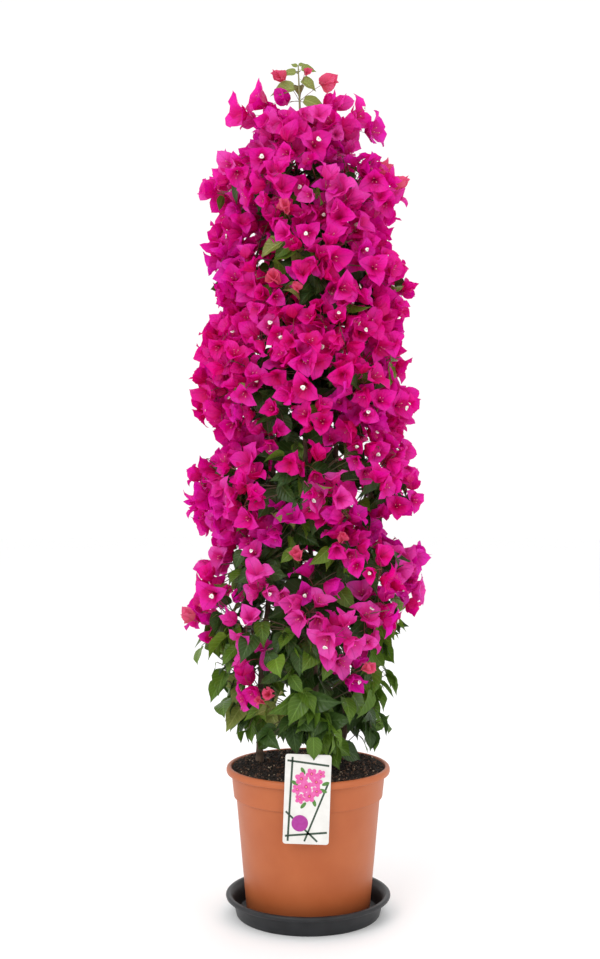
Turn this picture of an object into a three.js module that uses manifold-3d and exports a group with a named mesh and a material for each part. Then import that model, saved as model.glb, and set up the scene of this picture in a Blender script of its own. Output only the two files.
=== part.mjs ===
// A bougainvillea trained as a flowering column, in a terracotta-coloured plastic pot on a black saucer,
// with a blank plant label hooked over the pot's rim.
// Millimetres, +Z up. The origin is the middle of the saucer's flat underside, and the label faces -Y.
import * as THREE from "three";
import { mergeVertices } from "three/addons/utils/BufferGeometryUtils.js";
import Module from "manifold-3d";

const wasm = await Module();
wasm.setup();

// Saucer and pot
const SAUCER = { height: 32, footRadius: 105.5, topRadius: 110.6, lipRadius: 121, lipInner: 114.6 };
const SAUCER_LIP_HEIGHT = 8;
const SAUCER_WALL = 2.6;
const SAUCER_FLOOR = 3;
const POT_HEIGHT = 216;
const POT_TOP = SAUCER_FLOOR + POT_HEIGHT;
const POT = { foot: 90, belowCollar: 105.7, collarFoot: 109.2, collarTop: 112.6, lip: 120, lipInner: 112.7 };
const POT_WALL = 3;
const LIP_HEIGHT = 11;
const COLLAR_HEIGHT = 32;
const ROUND_SEGMENTS = 36;

// Soil and the clearance between pieces that rest on each other
const GAP = 0.3;
const LIMB_GAP = GAP + 0.1;
const SOIL_TOP = POT_TOP - 6;
const SOIL_EDGE_DROP = 2;

// Label card
const CARD = { width: 64, height: 125, thick: 1.2, corner: 4, top: POT_TOP + 41, lean: 2 };
const CARD_HOOK = { width: 14, thick: 1.6, fromWall: 2, sunk: 0.3 };

// Stems: angle and radius where each one leaves the soil, where it climbs, and where its head ends
const STEMS = [
  { name: "stem_left", foot: [150, 84], climb: [154, 80], head: [178, 17], headZ: 1100, radius: [4.6, 2.3] },
  { name: "stem_right", foot: [58, 92], climb: [42, 84], head: [4, 18], headZ: 1100, radius: [4.8, 2.3] },
  { name: "stem_front", foot: [-75, 62], climb: [-80, 62], head: [-164, 12], headZ: 1164, radius: [4.4, 1.9] },
];
const FRONT_STEM = 2;
const CLIMB_Z = 300;
const FLARE = 0.55;
const FLARE_LENGTH = 14;
const STEM_SIDES = 7;
const STEM_RINGS = 12;
const STEM_OVERRUN = 4;
const SWAY = { far: 3.5, waves: 19 };

// Tiers of the crown, from the foot up: middle height, half height, reach to the left and right, how far the
// reach draws in at the tier's ends, number of masses, angle of the first, and blossom's share of its sprays
const TIERS = [
  { name: "foot", z: 310, half: 64, left: 148, right: 138, pinch: 0.26, count: 3, turn: 30, blossom: 0 },
  { name: "skirt", z: 425, half: 58, left: 194, right: 178, pinch: 0.18, count: 4, turn: 0, blossom: 0.3 },
  { name: "hip", z: 520, half: 50, left: 174, right: 184, pinch: 0.22, count: 4, turn: 45, blossom: 0.6 },
  { name: "waist", z: 630, half: 68, left: 182, right: 168, pinch: 0.22, count: 4, turn: 0, blossom: 0.8 },
  { name: "middle", z: 785, half: 84, left: 182, right: 162, pinch: 0.2, count: 4, turn: 45, blossom: 0.97 },
  { name: "chest", z: 935, half: 72, left: 152, right: 162, pinch: 0.16, count: 4, turn: 0, blossom: 0.93 },
  { name: "shoulder", z: 1056, half: 60, left: 160, right: 142, pinch: 0.2, count: 3, turn: 90, blossom: 1 },
  { name: "crown", z: 1158, half: 66, left: 126, right: 110, pinch: 0.62, count: 3, turn: -90, blossom: 1 },
];
const CENTRE_SHARE = 0.6;
const CELL_MARGIN = 0.8;
const LOWEST_LEAF = POT_TOP + 6;
const LABEL_CLEAR = { behind: 6, above: 6, beside: 12 };
const TIP = { name: "foliage_tip_1", centre: [-10, -6, 1252], top: 1238, lean: -3, radius: 2.2 };
const TIP_BLOOMS = { count: 3, scale: 0.68, out: 16, z: 1207, stagger: 8, turn: 40, rise: 0.8, seat: 0.42 };
const TIP_LEAVES = { pairs: 3, seat: [0.55, 0.97], scale: [0.5, 0.22], rise: [0.3, 1.1] };
const TIP_LEAF_TURNS = { first: 10, step: 74, stray: 20 };

// A dense mass has a core that reaches from the open middle of the plant to a share of the crown's reach
const CORE = { inner: 0.36, heart: 0.56, outer: 0.72, sides: 8, footRise: 40, overlap: 6 };
const CORE_WAVE = { share: 0.05, count: 3 };

// Boughs, twigs, leaves and bracts
const BOUGH = { rise: 40, lowest: 25, entry: 0.43, entryDrop: 6, arch: 6, radius: [2.6, 1.9] };
const BOUGH_SIDES = 5;
const BOUGH_RINGS = 2;
const BOUGH_TIERS = ["foot", "skirt", "hip", "waist", "middle", "chest"];
const BLOOM_AREA = 3900;
const LEAVES_AREA = 6600;
const SPRAY_SPREAD = 0.88;
const SPRAY_INSET = [20, 30];
const SPRAY_ROOT = [0.7, 0.98];
const SPRAY_TRIES = 12;
const SPRAY_DRIFT = 0.5;
const SPRAY_STEP_BACK = 5;
const SPRAY_SCALE = [0.92, 0.62];
const SPRAY_POSE = { rise: 0.35, stray: 0.6, spin: 2 };
const SPRAY_MARGIN = 0.2;
const TWIG_SUNK = 2;
const MAIN_TWIG = 2.8;
const SIDE_TWIG = 2;
const LEAF = { length: 58, width: 38, thick: 1.7, fold: 5, droop: -7 };

// The rim of a spray, for one of its three bracts or leaves: turn about the twig's end, and distances out
// and on from it
const BLOOM = { hollow: 6, rim: [[0, 36, 20], [60, 23, 17]] };
const LEAVES = { hollow: 5, rim: [[0, 60, -8], [24, 32, 4], [60, 9, 5], [96, 32, 4]] };
const GOLDEN = 0.618034;
const PLASTIC = 0.754878;

const COLOURS = {
  bract: 0xc8107c,
  leaf: 0x40602c,
  bark: 0x5a4332,
  pot: 0xc0663c,
  saucer: 0x2b2c2f,
  soil: 0x2a1d16,
  card: 0xf2f0ea,
};

const radians = THREE.MathUtils.degToRad;
const UP = new THREE.Vector3(0, 0, 1);
const vector = (x = 0, y = 0, z = 0) => new THREE.Vector3(x, y, z);
const polar = (angle, radius, z) =>
  vector(radius * Math.cos(radians(angle)), radius * Math.sin(radians(angle)), z);
const angleOf = (point) => THREE.MathUtils.radToDeg(Math.atan2(point.y, point.x));
const mix = (a, b, t) => a + (b - a) * t;
const smooth = (t) => t * t * (3 - 2 * t);

// A seeded stream of numbers from 0 to 1
function stream(seed) {
  let state = seed >>> 0;
  return () => {
    state = (Math.imul(state, 1664525) + 1013904223) >>> 0;
    return state / 4294967296;
  };
}

// A closed three.js geometry as a solid, and a solid back as a geometry
function solidOf(geometry) {
  const bare = geometry.clone();
  bare.deleteAttribute("normal");
  bare.deleteAttribute("uv");
  const merged = mergeVertices(bare, 1e-3);
  return new wasm.Manifold(
    new wasm.Mesh({
      numProp: 3,
      vertProperties: new Float32Array(merged.attributes.position.array),
      triVerts: new Uint32Array(merged.index.array),
    }),
  );
}

function geometryOf(solid) {
  const made = solid.getMesh();
  const geometry = new THREE.BufferGeometry();
  geometry.setAttribute("position", new THREE.BufferAttribute(new Float32Array(made.vertProperties), 3));
  geometry.setIndex(new THREE.BufferAttribute(new Uint32Array(made.triVerts), 1));
  geometry.computeVertexNormals();
  return geometry;
}

function largestBody(solid) {
  return solid.decompose().reduce((best, body) => (body.volume() > best.volume() ? body : best));
}

// A profile of [radius, height] points, turned about +Z
function turned(profile, segments = ROUND_SEGMENTS) {
  const points = profile.map(([radius, height]) => new THREE.Vector2(radius, height));
  return new THREE.LatheGeometry(points, segments).rotateX(Math.PI / 2);
}

function saucerGeometry() {
  const lipFoot = SAUCER.height - SAUCER_LIP_HEIGHT;
  return turned([
    [0, 0],
    [SAUCER.footRadius - 2, 0],
    [SAUCER.footRadius, 1.5],
    [SAUCER.topRadius, lipFoot],
    [SAUCER.lipRadius - 2, lipFoot + 0.5],
    [SAUCER.lipRadius, lipFoot + 2.5],
    [SAUCER.lipRadius, SAUCER.height - 2.5],
    [SAUCER.lipRadius - 2.5, SAUCER.height],
    [SAUCER.lipInner, SAUCER.height - 0.8],
    [SAUCER.topRadius - SAUCER_WALL, lipFoot],
    [SAUCER.footRadius - SAUCER_WALL, SAUCER_FLOOR],
    [0, SAUCER_FLOOR],
  ]);
}

// Heights of the pot's collar and lip
const LIP_FOOT = POT_TOP - LIP_HEIGHT;
const COLLAR_FOOT = LIP_FOOT - COLLAR_HEIGHT;

function potGeometry() {
  return turned([
    [0, SAUCER_FLOOR],
    [POT.foot - 2, SAUCER_FLOOR],
    [POT.foot, SAUCER_FLOOR + 2],
    [POT.belowCollar, COLLAR_FOOT - 3],
    [POT.collarFoot, COLLAR_FOOT],
    [POT.collarTop, LIP_FOOT],
    [POT.lip - 2, LIP_FOOT + 0.5],
    [POT.lip, LIP_FOOT + 3],
    [POT.lip, POT_TOP - 4],
    [POT.lip - 2.2, POT_TOP - 0.6],
    [POT.lipInner + 2, POT_TOP],
    [POT.lipInner, POT_TOP - 2],
    [POT.collarFoot - POT_WALL, COLLAR_FOOT],
    [POT.belowCollar - POT_WALL, COLLAR_FOOT - 4],
    [POT.foot - POT_WALL, SAUCER_FLOOR + POT_WALL],
    [0, SAUCER_FLOOR + POT_WALL],
  ]);
}

// The pot's inside radius at the soil's edge, on the straight stretch between lip and collar
function insideRadius(z) {
  return mix(POT.lipInner, POT.collarFoot - POT_WALL, (POT_TOP - 2 - z) / (POT_TOP - 2 - COLLAR_FOOT));
}

function soilGeometry() {
  const edge = SOIL_TOP - SOIL_EDGE_DROP;
  return turned([
    [0, SAUCER_FLOOR + POT_WALL + GAP],
    [POT.foot - POT_WALL - 2 * GAP, SAUCER_FLOOR + POT_WALL + GAP],
    [POT.belowCollar - POT_WALL - 2 * GAP, COLLAR_FOOT - 4 + GAP],
    [POT.collarFoot - POT_WALL - 2 * GAP, COLLAR_FOOT + GAP],
    [insideRadius(edge) - 2 * GAP, edge],
    [insideRadius(edge) - 9, SOIL_TOP - GAP],
    [0, SOIL_TOP - GAP],
  ]);
}

// A card with round corners that hangs on the lip by a hook behind it
function labelGeometry() {
  const { width, height, thick, corner, top, lean } = CARD;
  const outline = new THREE.Shape();
  outline.moveTo(-width / 2 + corner, -height);
  outline.lineTo(width / 2 - corner, -height);
  outline.absarc(width / 2 - corner, -height + corner, corner, -Math.PI / 2, 0);
  outline.lineTo(width / 2, -corner);
  outline.absarc(width / 2 - corner, -corner, corner, 0, Math.PI / 2);
  outline.lineTo(-width / 2 + corner, 0);
  outline.absarc(-width / 2 + corner, -corner, corner, Math.PI / 2, Math.PI);
  outline.lineTo(-width / 2, -height + corner);
  outline.absarc(-width / 2 + corner, -height + corner, corner, Math.PI, 1.5 * Math.PI);
  const options = { depth: thick, bevelEnabled: false, curveSegments: 3 };
  const card = new THREE.ExtrudeGeometry(outline, options);
  card.rotateZ(radians(-lean));
  card.rotateX(Math.PI / 2);
  const front = -(POT.lip + 2 * GAP);
  card.translate(0, front, top);
  const hookTop = POT_TOP + GAP + CARD_HOOK.thick;
  const hookBack = -(insideRadius(SOIL_TOP) - CARD_HOOK.fromWall);
  const bridgeLength = hookBack - front + 2 * CARD_HOOK.sunk;
  const bridge = new THREE.BoxGeometry(CARD_HOOK.width, bridgeLength, CARD_HOOK.thick);
  bridge.translate(0, (hookBack + front) / 2 - CARD_HOOK.sunk, hookTop - CARD_HOOK.thick / 2);
  const tongueFoot = SOIL_TOP + GAP;
  const tongue = new THREE.BoxGeometry(CARD_HOOK.width, CARD_HOOK.thick, hookTop - tongueFoot);
  tongue.translate(0, hookBack + CARD_HOOK.thick / 2 - 0.1, (hookTop + tongueFoot) / 2);
  return geometryOf(solidOf(card).add(solidOf(bridge)).add(solidOf(tongue)));
}

// A round limb that tapers along a curve: a cylinder whose rings are carried to the curve
function limbGeometry(curve, radiusAt, sides, rings, extend = 0) {
  const geometry = new THREE.CylinderGeometry(1, 1, 1, sides, rings);
  const position = geometry.attributes.position;
  for (let i = 0; i < position.count; i++) {
    const along = position.getY(i) + 0.5;
    const centre = curve.getPoint(along);
    const tangent = curve.getTangent(along).normalize();
    const side = vector(0, 1, 0).cross(tangent).normalize();
    const front = tangent.clone().cross(side);
    const radius = radiusAt(along);
    const end = along < 1e-6 ? -extend : along > 1 - 1e-6 ? extend : 0;
    centre.addScaledVector(side, position.getX(i) * radius);
    centre.addScaledVector(front, -position.getZ(i) * radius);
    centre.addScaledVector(tangent, end);
    position.setXYZ(i, centre.x, centre.y, centre.z);
  }
  return geometry;
}

// A three-sided twig that runs out to a point
function twigSolid(from, to, radius) {
  const length = from.distanceTo(to);
  const geometry = new THREE.ConeGeometry(radius, length, 3, 1);
  geometry.translate(0, length / 2, 0);
  const turn = new THREE.Quaternion().setFromUnitVectors(vector(0, 1, 0), to.clone().sub(from).normalize());
  geometry.applyQuaternion(turn).translate(from.x, from.y, from.z);
  return solidOf(geometry);
}

// Where each stem's middle lies at a share of its height
function stemCurve(stem) {
  const points = [];
  for (let i = 0; i <= STEM_RINGS; i++) {
    const t = i / STEM_RINGS;
    const z = mix(SOIL_TOP, stem.headZ, t);
    const low = smooth(Math.min(1, (z - SOIL_TOP) / (CLIMB_Z - SOIL_TOP)));
    const high = Math.max(0, (z - CLIMB_Z) / (stem.headZ - CLIMB_Z));
    const angle = mix(mix(stem.foot[0], stem.climb[0], low), stem.head[0], high * high);
    const radius = mix(mix(stem.foot[1], stem.climb[1], low), stem.head[1], high);
    const sway = SWAY.far * Math.sin(t * SWAY.waves + stem.foot[0]) * Math.sin(Math.PI * t);
    points.push(polar(angle, radius + sway, z));
  }
  return new THREE.CatmullRomCurve3(points);
}

function stemRadius(stem, along) {
  const height = along * (stem.headZ - SOIL_TOP);
  return mix(stem.radius[0], stem.radius[1], along) * (1 + FLARE * Math.exp(-height / FLARE_LENGTH));
}

// The stem's foot is cut flat at the soil
function stemSolid(stem, grow = 0) {
  const curve = stemCurve(stem);
  const radiusAt = (t) => stemRadius(stem, t) + grow;
  const solid = solidOf(limbGeometry(curve, radiusAt, STEM_SIDES, STEM_RINGS, grow || STEM_OVERRUN));
  return grow ? solid : solid.trimByPlane([0, 0, 1], SOIL_TOP).trimByPlane([0, 0, -1], -stem.headZ);
}

const stems = STEMS.map((stem) => ({ ...stem, curve: stemCurve(stem), solid: stemSolid(stem) }));

// The point of a stem's middle at a height
function stemPoint(stem, z) {
  return stem.curve.getPoint(THREE.MathUtils.clamp((z - SOIL_TOP) / (stem.headZ - SOIL_TOP), 0, 1));
}

// The crown's reach at a height and an angle
function reachAt(z, angle) {
  const far = (tier) => Math.abs(z - tier.z) / tier.half;
  const tier = TIERS.reduce((best, other) => (far(other) < far(best) ? other : best));
  const full = mix(tier.left, tier.right, 0.5 + 0.5 * Math.cos(radians(angle)));
  return full * (1 - tier.pinch * Math.min(1, far(tier)) ** 3);
}

function massesOfTiers() {
  const masses = [];
  TIERS.forEach((tier, level) => {
    for (let i = 0; i < tier.count; i++) {
      const angle = tier.turn + (360 * i) / tier.count;
      const reach = reachAt(tier.z, angle);
      masses.push({
        name: `foliage_${tier.name}_${i + 1}`,
        bough: BOUGH_TIERS.includes(tier.name) ? `bough_${tier.name}_${i + 1}` : null,
        tier,
        angle,
        reach,
        centre: polar(angle, CENTRE_SHARE * reach, tier.z),
        random: stream(1000 * (level + 1) + 17 * i + 5),
      });
    }
  });
  return masses;
}

const masses = massesOfTiers();
const tipCentre = vector(...TIP.centre);

// A mass's own space ends half way to each other mass's centre: the planes there, facing away from the mass
function bordersOf(centre) {
  const centres = [...masses.map((mass) => mass.centre), tipCentre].filter((other) => other !== centre);
  return centres.map((other) => {
    const across = other.clone().sub(centre).normalize();
    return { across, limit: other.clone().add(centre).multiplyScalar(0.5).dot(across) - CELL_MARGIN };
  });
}

for (const mass of masses) mass.borders = bordersOf(mass.centre);

const inOwnSpace = (mass, point) => mass.borders.every(({ across, limit }) => point.dot(across) < limit);

// A point keeps inside the crown's outline, over the pot and clear of the label
function inOutline(point) {
  const beforeLip = point.y < LABEL_CLEAR.behind - POT.lip;
  const belowTop = point.z < CARD.top + LABEL_CLEAR.above;
  const atLabel = beforeLip && belowTop && Math.abs(point.x) < CARD.width / 2 + LABEL_CLEAR.beside;
  const within = Math.hypot(point.x, point.y) < reachAt(point.z, angleOf(point));
  return point.z > LOWEST_LEAF && within && !atLabel;
}

// The thin shoot on the front stem's head, which stands above the crown
const shootFoot = stems[FRONT_STEM].curve.getPoint(1).addScaledVector(UP, -TWIG_SUNK);
const shootTop = vector(shootFoot.x + TIP.lean, shootFoot.y, TIP.top);
const shootSolid = (grow = 0) => twigSolid(shootFoot, shootTop, TIP.radius + grow);

// A bough starts inside its stem, from which it is then cut clear, and ends where it enters its mass
function boughCurve(mass) {
  const entry = polar(mass.angle, BOUGH.entry * mass.reach, mass.centre.z - BOUGH.entryDrop);
  const startZ = Math.max(mass.centre.z - BOUGH.rise, SOIL_TOP + BOUGH.lowest);
  const stem = stems.reduce((best, other) =>
    stemPoint(other, startZ).distanceTo(entry) < stemPoint(best, startZ).distanceTo(entry) ? other : best,
  );
  const start = stemPoint(stem, startZ);
  const middle = start.clone().lerp(entry, 0.5).addScaledVector(UP, -BOUGH.arch);
  return new THREE.QuadraticBezierCurve3(start, middle, entry);
}

function boughSolid(curve, grow = 0) {
  const radiusAt = (t) => mix(BOUGH.radius[0], BOUGH.radius[1], t) + grow;
  return solidOf(limbGeometry(curve, radiusAt, BOUGH_SIDES, BOUGH_RINGS, grow));
}

// Stems, shoot and boughs, each a little grown, are the space that nothing else may touch
const grownStems = stems.map((stem) => stemSolid(stem, LIMB_GAP)).reduce((all, one) => all.add(one));
let keepClear = grownStems.add(shootSolid(2 * LIMB_GAP));
for (const mass of masses.filter((one) => one.bough)) {
  mass.boughCurve = boughCurve(mass);
  mass.boughSolid = largestBody(boughSolid(mass.boughCurve).subtract(grownStems));
  keepClear = keepClear.add(boughSolid(mass.boughCurve, LIMB_GAP));
}

// A thin blade from an octahedron: root, tip, two sides, and a thick point on each face near the root
function bladeSolid(shape, root, direction, normal, scale = 1) {
  const forward = direction.clone().normalize();
  const side = forward.clone().cross(normal).normalize();
  const face = side.clone().cross(forward);
  const geometry = new THREE.OctahedronGeometry(1, 0);
  const position = geometry.attributes.position;
  const corners = [];
  for (let i = 0; i < position.count; i++) {
    const [x, y, z] = [position.getX(i), position.getY(i), position.getZ(i)];
    const along = y > 0.5 ? 1 : y < -0.5 ? 0 : Math.abs(x) > 0.5 ? 0.42 : 0.2;
    const lift = shape.fold * Math.abs(x) + shape.droop * along * along + (shape.thick / 2) * z;
    const point = root.clone();
    point.addScaledVector(forward, along * shape.length * scale);
    point.addScaledVector(side, (x * shape.width * scale) / 2);
    point.addScaledVector(face, lift * scale);
    position.setXYZ(i, point.x, point.y, point.z);
    corners.push(point);
  }
  const solid = solidOf(geometry);
  return { solid, corners };
}

// The points of a spray's rim round its twig's end, for a spray that faces one way
function rimOf(shape, facing, spin, scale) {
  const forward = facing.clone().normalize();
  const level = forward.clone().cross(UP).normalize();
  const other = level.clone().cross(forward);
  const around = (angle, out) =>
    level.clone().multiplyScalar(Math.cos(angle) * out).addScaledVector(other, Math.sin(angle) * out);
  const rim = [];
  for (let third = 0; third < 3; third++) {
    for (const [turn, out, on] of shape.rim) {
      const angle = spin + radians(120 * third + turn);
      const offset = around(angle, out * scale).addScaledVector(forward, on * scale);
      rim.push({ offset, ring: around(angle, SIDE_TWIG) });
    }
  }
  return { forward, rim, hollow: shape.hollow * scale };
}

// A twig with three bracts or leaves on its end, in one closed solid, from a cone with a ring half way: the
// cone's point is the twig's root, the ring is the twig's end, and the cone's rim is the bracts' outline
function spraySolid({ forward, rim, hollow }, from, end) {
  const geometry = new THREE.ConeGeometry(1, 1, rim.length, 2);
  const position = geometry.attributes.position;
  for (let i = 0; i < position.count; i++) {
    const [x, y, z] = [position.getX(i), position.getY(i), position.getZ(i)];
    const step = Math.round((Math.atan2(x, z) / (2 * Math.PI) + 1) * rim.length) % rim.length;
    const point = end.clone();
    if (y > 0.4) point.copy(from);
    else if (y > -0.1) point.add(rim[step].ring).addScaledVector(forward, -TWIG_SUNK);
    else if (Math.hypot(x, z) > 0.5) point.add(rim[step].offset);
    else point.addScaledVector(forward, hollow);
    position.setXYZ(i, point.x, point.y, point.z);
  }
  return solidOf(geometry);
}

// Moves a spray's end back until its rim keeps to the crown's reach and to the mass's own space
function settle(mass, end, rim) {
  for (let pass = 0; pass < 3; pass++) {
    for (const { offset } of rim) {
      const point = end.clone().add(offset);
      const over = Math.hypot(point.x, point.y) - reachAt(point.z, angleOf(point)) + SPRAY_MARGIN;
      if (over > 0) end.addScaledVector(vector(point.x, point.y, 0).normalize(), -over);
    }
    for (const { across, limit } of mass.borders) {
      const furthest = Math.max(...rim.map(({ offset }) => end.clone().add(offset).dot(across)));
      const over = furthest - limit + SPRAY_MARGIN;
      if (over > 0) end.addScaledVector(across, -over);
    }
  }
}

// A bloom faces outwards and a little up, and a spray of leaves faces up and outwards
function posedSpray(outward, random, isBlossom, scale) {
  const facing = outward.clone().addScaledVector(UP, SPRAY_POSE.rise);
  facing.x += (random() - 0.5) * SPRAY_POSE.stray;
  facing.y += (random() - 0.5) * SPRAY_POSE.stray;
  facing.z += (random() - 0.5) * SPRAY_POSE.stray;
  return rimOf(isBlossom ? BLOOM : LEAVES, facing, random() * SPRAY_POSE.spin, scale);
}

// The crown's dense body at a tier, round the open middle: each mass of the tier has its share of it
function tierBody(tier) {
  const rise = tier.name === "foot" ? CORE.footRise : 0;
  const heights = [
    tier.z - tier.half - CORE.overlap + rise,
    tier.z - tier.half / 2 + rise / 2,
    tier.z + tier.half / 2,
    tier.z + tier.half + CORE.overlap,
  ];
  const outer = new THREE.CylinderGeometry(1, 1, 1, CORE.sides, heights.length - 1).rotateX(Math.PI / 2);
  const position = outer.attributes.position;
  for (let i = 0; i < position.count; i++) {
    const z = heights[Math.round((position.getZ(i) + 0.5) * (heights.length - 1))];
    const angle = angleOf(vector().fromBufferAttribute(position, i));
    const wave = CORE_WAVE.share * Math.sin(CORE_WAVE.count * radians(angle) + z);
    const radius = CORE.outer * reachAt(z, angle) * (1 + wave);
    position.setXYZ(i, position.getX(i) * radius, position.getY(i) * radius, z);
  }
  if (tier.name === "crown") return solidOf(outer);
  const open = new THREE.CylinderGeometry(1, 1, 4 * tier.half, CORE.sides).rotateX(Math.PI / 2);
  open.scale(CORE.inner * tier.right, CORE.inner * tier.right, 1).translate(0, 0, tier.z);
  return solidOf(outer).subtract(solidOf(open));
}

// A mass's core is the share of its tier's body that lies in the mass's own space
function coreSolid(mass) {
  let core = mass.tier.body;
  for (const { across, limit } of mass.borders) {
    core = core.trimByPlane(across.clone().negate().toArray(), -limit);
  }
  return core;
}

// Where a mass's own stem starts: in its bough's end, or in the side or head of a stem
function rootOf(mass) {
  const bough = mass.boughCurve;
  if (bough) return bough.getPoint(1).addScaledVector(bough.getTangent(1), -TWIG_SUNK);
  const z = mass.centre.z - BOUGH.rise;
  const near = (stem) => stemPoint(stem, z).distanceTo(mass.centre);
  return stemPoint(stems.reduce((best, other) => (near(other) < near(best) ? other : best)), z);
}

// The place of a mass's spray on the crown's outside: a seeded start, then equal steps in both ways,
// which spread the sprays evenly
function seatOf(mass, index, start) {
  const across = (start[0] + GOLDEN * index) % 1;
  const up = (start[1] + PLASTIC * index) % 1;
  const z = mass.tier.z + (2 * up - 1) * mass.tier.half * SPRAY_SPREAD;
  const angle = mass.angle + ((across - 0.5) * 360 * SPRAY_SPREAD) / mass.tier.count;
  return { z, angle };
}

// A mass: one stem, a core round it if it is dense, and side twigs that each end in a spray
function growMass(mass) {
  const root = rootOf(mass);
  const heart = polar(mass.angle, CORE.heart * mass.reach, mass.tier.z);
  const inside = twigSolid(root, heart, MAIN_TWIG).add(coreSolid(mass));
  let grown = inside;
  let taken = keepClear;
  const area = (2 * mass.tier.half * 2 * Math.PI * mass.reach) / mass.tier.count;
  const sprays = Math.round(area / mix(LEAVES_AREA, BLOOM_AREA, mass.tier.blossom));
  const start = [mass.random(), mass.random()];
  for (let i = 0; i < sprays; i++) {
    const seat = seatOf(mass, i, start);
    const isBlossom = mass.random() < mass.tier.blossom;
    const inset = mix(...SPRAY_INSET, mass.random());
    const from = root.clone().lerp(heart, mix(...SPRAY_ROOT, mass.random()));
    for (let attempt = 0; attempt < SPRAY_TRIES; attempt++) {
      const drift = attempt / SPRAY_TRIES;
      const z = mix(seat.z, mass.tier.z, SPRAY_DRIFT * drift);
      const angle = mix(seat.angle, mass.angle, SPRAY_DRIFT * drift);
      const end = polar(angle, reachAt(z, angle) - inset - SPRAY_STEP_BACK * (attempt % 3), z);
      const pose = posedSpray(polar(angle, 1, 0), mass.random, isBlossom, mix(...SPRAY_SCALE, drift));
      settle(mass, end, pose.rim);
      const points = [end, ...pose.rim.map(({ offset }) => end.clone().add(offset))];
      if (!points.every((point) => inOwnSpace(mass, point) && inOutline(point))) continue;
      const spray = spraySolid(pose, from, end);
      const outside = spray.subtract(inside);
      if (spray.intersect(keepClear).isEmpty() && outside.intersect(taken).isEmpty()) {
        grown = grown.add(spray);
        taken = taken.add(outside);
        break;
      }
    }
  }
  return largestBody(grown.subtract(keepClear));
}

for (const tier of TIERS) tier.body = tierBody(tier);

// The thin shoot at the very top, with blooms round its foot and pairs of small leaves above them
function growTip() {
  const random = stream(77);
  const mass = { borders: bordersOf(tipCentre) };
  let grown = shootSolid();
  for (let i = 0; i < TIP_BLOOMS.count; i++) {
    const seat = shootFoot.clone().lerp(shootTop, TIP_BLOOMS.seat);
    const angle = (360 * i) / TIP_BLOOMS.count + TIP_BLOOMS.turn;
    const end = polar(angle, TIP_BLOOMS.out, TIP_BLOOMS.z + TIP_BLOOMS.stagger * (i % 2));
    end.add(vector(shootFoot.x, shootFoot.y, 0));
    const pose = posedSpray(polar(angle, 1, TIP_BLOOMS.rise), random, true, TIP_BLOOMS.scale);
    settle(mass, end, pose.rim);
    grown = grown.add(spraySolid(pose, seat, end));
  }
  for (let i = 0; i < TIP_LEAVES.pairs; i++) {
    const up = i / (TIP_LEAVES.pairs - 1);
    const seat = shootFoot.clone().lerp(shootTop, mix(...TIP_LEAVES.seat, up));
    for (const hand of [-1, 1]) {
      const turn = radians(i * TIP_LEAF_TURNS.step + TIP_LEAF_TURNS.first + random() * TIP_LEAF_TURNS.stray);
      const direction = vector(hand * Math.cos(turn), Math.sin(turn) * hand, mix(...TIP_LEAVES.rise, up));
      const blade = bladeSolid(LEAF, seat, direction, UP, mix(...TIP_LEAVES.scale, up));
      const isFree = blade.corners.every((point) => inOwnSpace(mass, point));
      if (isFree) grown = grown.add(blade.solid);
    }
  }
  return largestBody(grown.subtract(grownStems));
}

const plant = new THREE.Group();
plant.name = "bougainvillea";

function addNode(name, geometry, colour, roughness) {
  const finish = { color: colour, roughness, metalness: 0, flatShading: true };
  const material = new THREE.MeshStandardMaterial(finish);
  const mesh = new THREE.Mesh(geometry, material);
  mesh.name = name;
  plant.add(mesh);
}

addNode("saucer", saucerGeometry(), COLOURS.saucer, 0.5);
addNode("pot", potGeometry(), COLOURS.pot, 0.55);
addNode("soil", soilGeometry(), COLOURS.soil, 1);
addNode("label", labelGeometry(), COLOURS.card, 0.4);
for (const stem of stems) addNode(stem.name, geometryOf(stem.solid), COLOURS.bark, 0.85);
for (const mass of masses) {
  if (mass.bough) addNode(mass.bough, geometryOf(mass.boughSolid), COLOURS.bark, 0.85);
  const colour = mass.tier.blossom > 0.4 ? COLOURS.bract : COLOURS.leaf;
  addNode(mass.name, geometryOf(growMass(mass)), colour, 0.6);
}
addNode(TIP.name, geometryOf(growTip()), COLOURS.leaf, 0.6);

export default plant;
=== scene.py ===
import math

import bmesh
import bpy
import numpy as np
from mathutils import Matrix, Vector, noise


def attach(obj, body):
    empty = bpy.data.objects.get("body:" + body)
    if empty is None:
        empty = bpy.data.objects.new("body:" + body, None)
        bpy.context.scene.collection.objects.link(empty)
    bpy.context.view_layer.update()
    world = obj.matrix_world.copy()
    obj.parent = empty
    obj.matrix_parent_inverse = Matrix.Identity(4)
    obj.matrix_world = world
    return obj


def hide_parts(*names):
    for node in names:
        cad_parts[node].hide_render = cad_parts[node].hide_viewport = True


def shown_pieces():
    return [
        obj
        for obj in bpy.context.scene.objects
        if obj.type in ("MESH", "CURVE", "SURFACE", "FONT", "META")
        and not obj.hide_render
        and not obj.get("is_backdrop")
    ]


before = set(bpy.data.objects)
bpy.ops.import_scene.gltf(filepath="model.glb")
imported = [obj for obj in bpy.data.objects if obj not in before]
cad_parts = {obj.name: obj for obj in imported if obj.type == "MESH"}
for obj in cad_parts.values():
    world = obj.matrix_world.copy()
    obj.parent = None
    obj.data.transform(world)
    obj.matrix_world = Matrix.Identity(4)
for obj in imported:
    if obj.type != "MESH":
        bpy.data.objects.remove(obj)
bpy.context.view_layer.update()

# Camera
# A portrait lens at the height of the plant's middle, just over two metres in front of the label.
# It stands a little to the left of the plant's middle and looks very slightly down.
CAMERA_PLACE = (-0.012, -2.05, 0.681)
CAMERA_AIM = (-0.012, 0.0, 0.638)
CAMERA_LENS = 52.55
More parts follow.
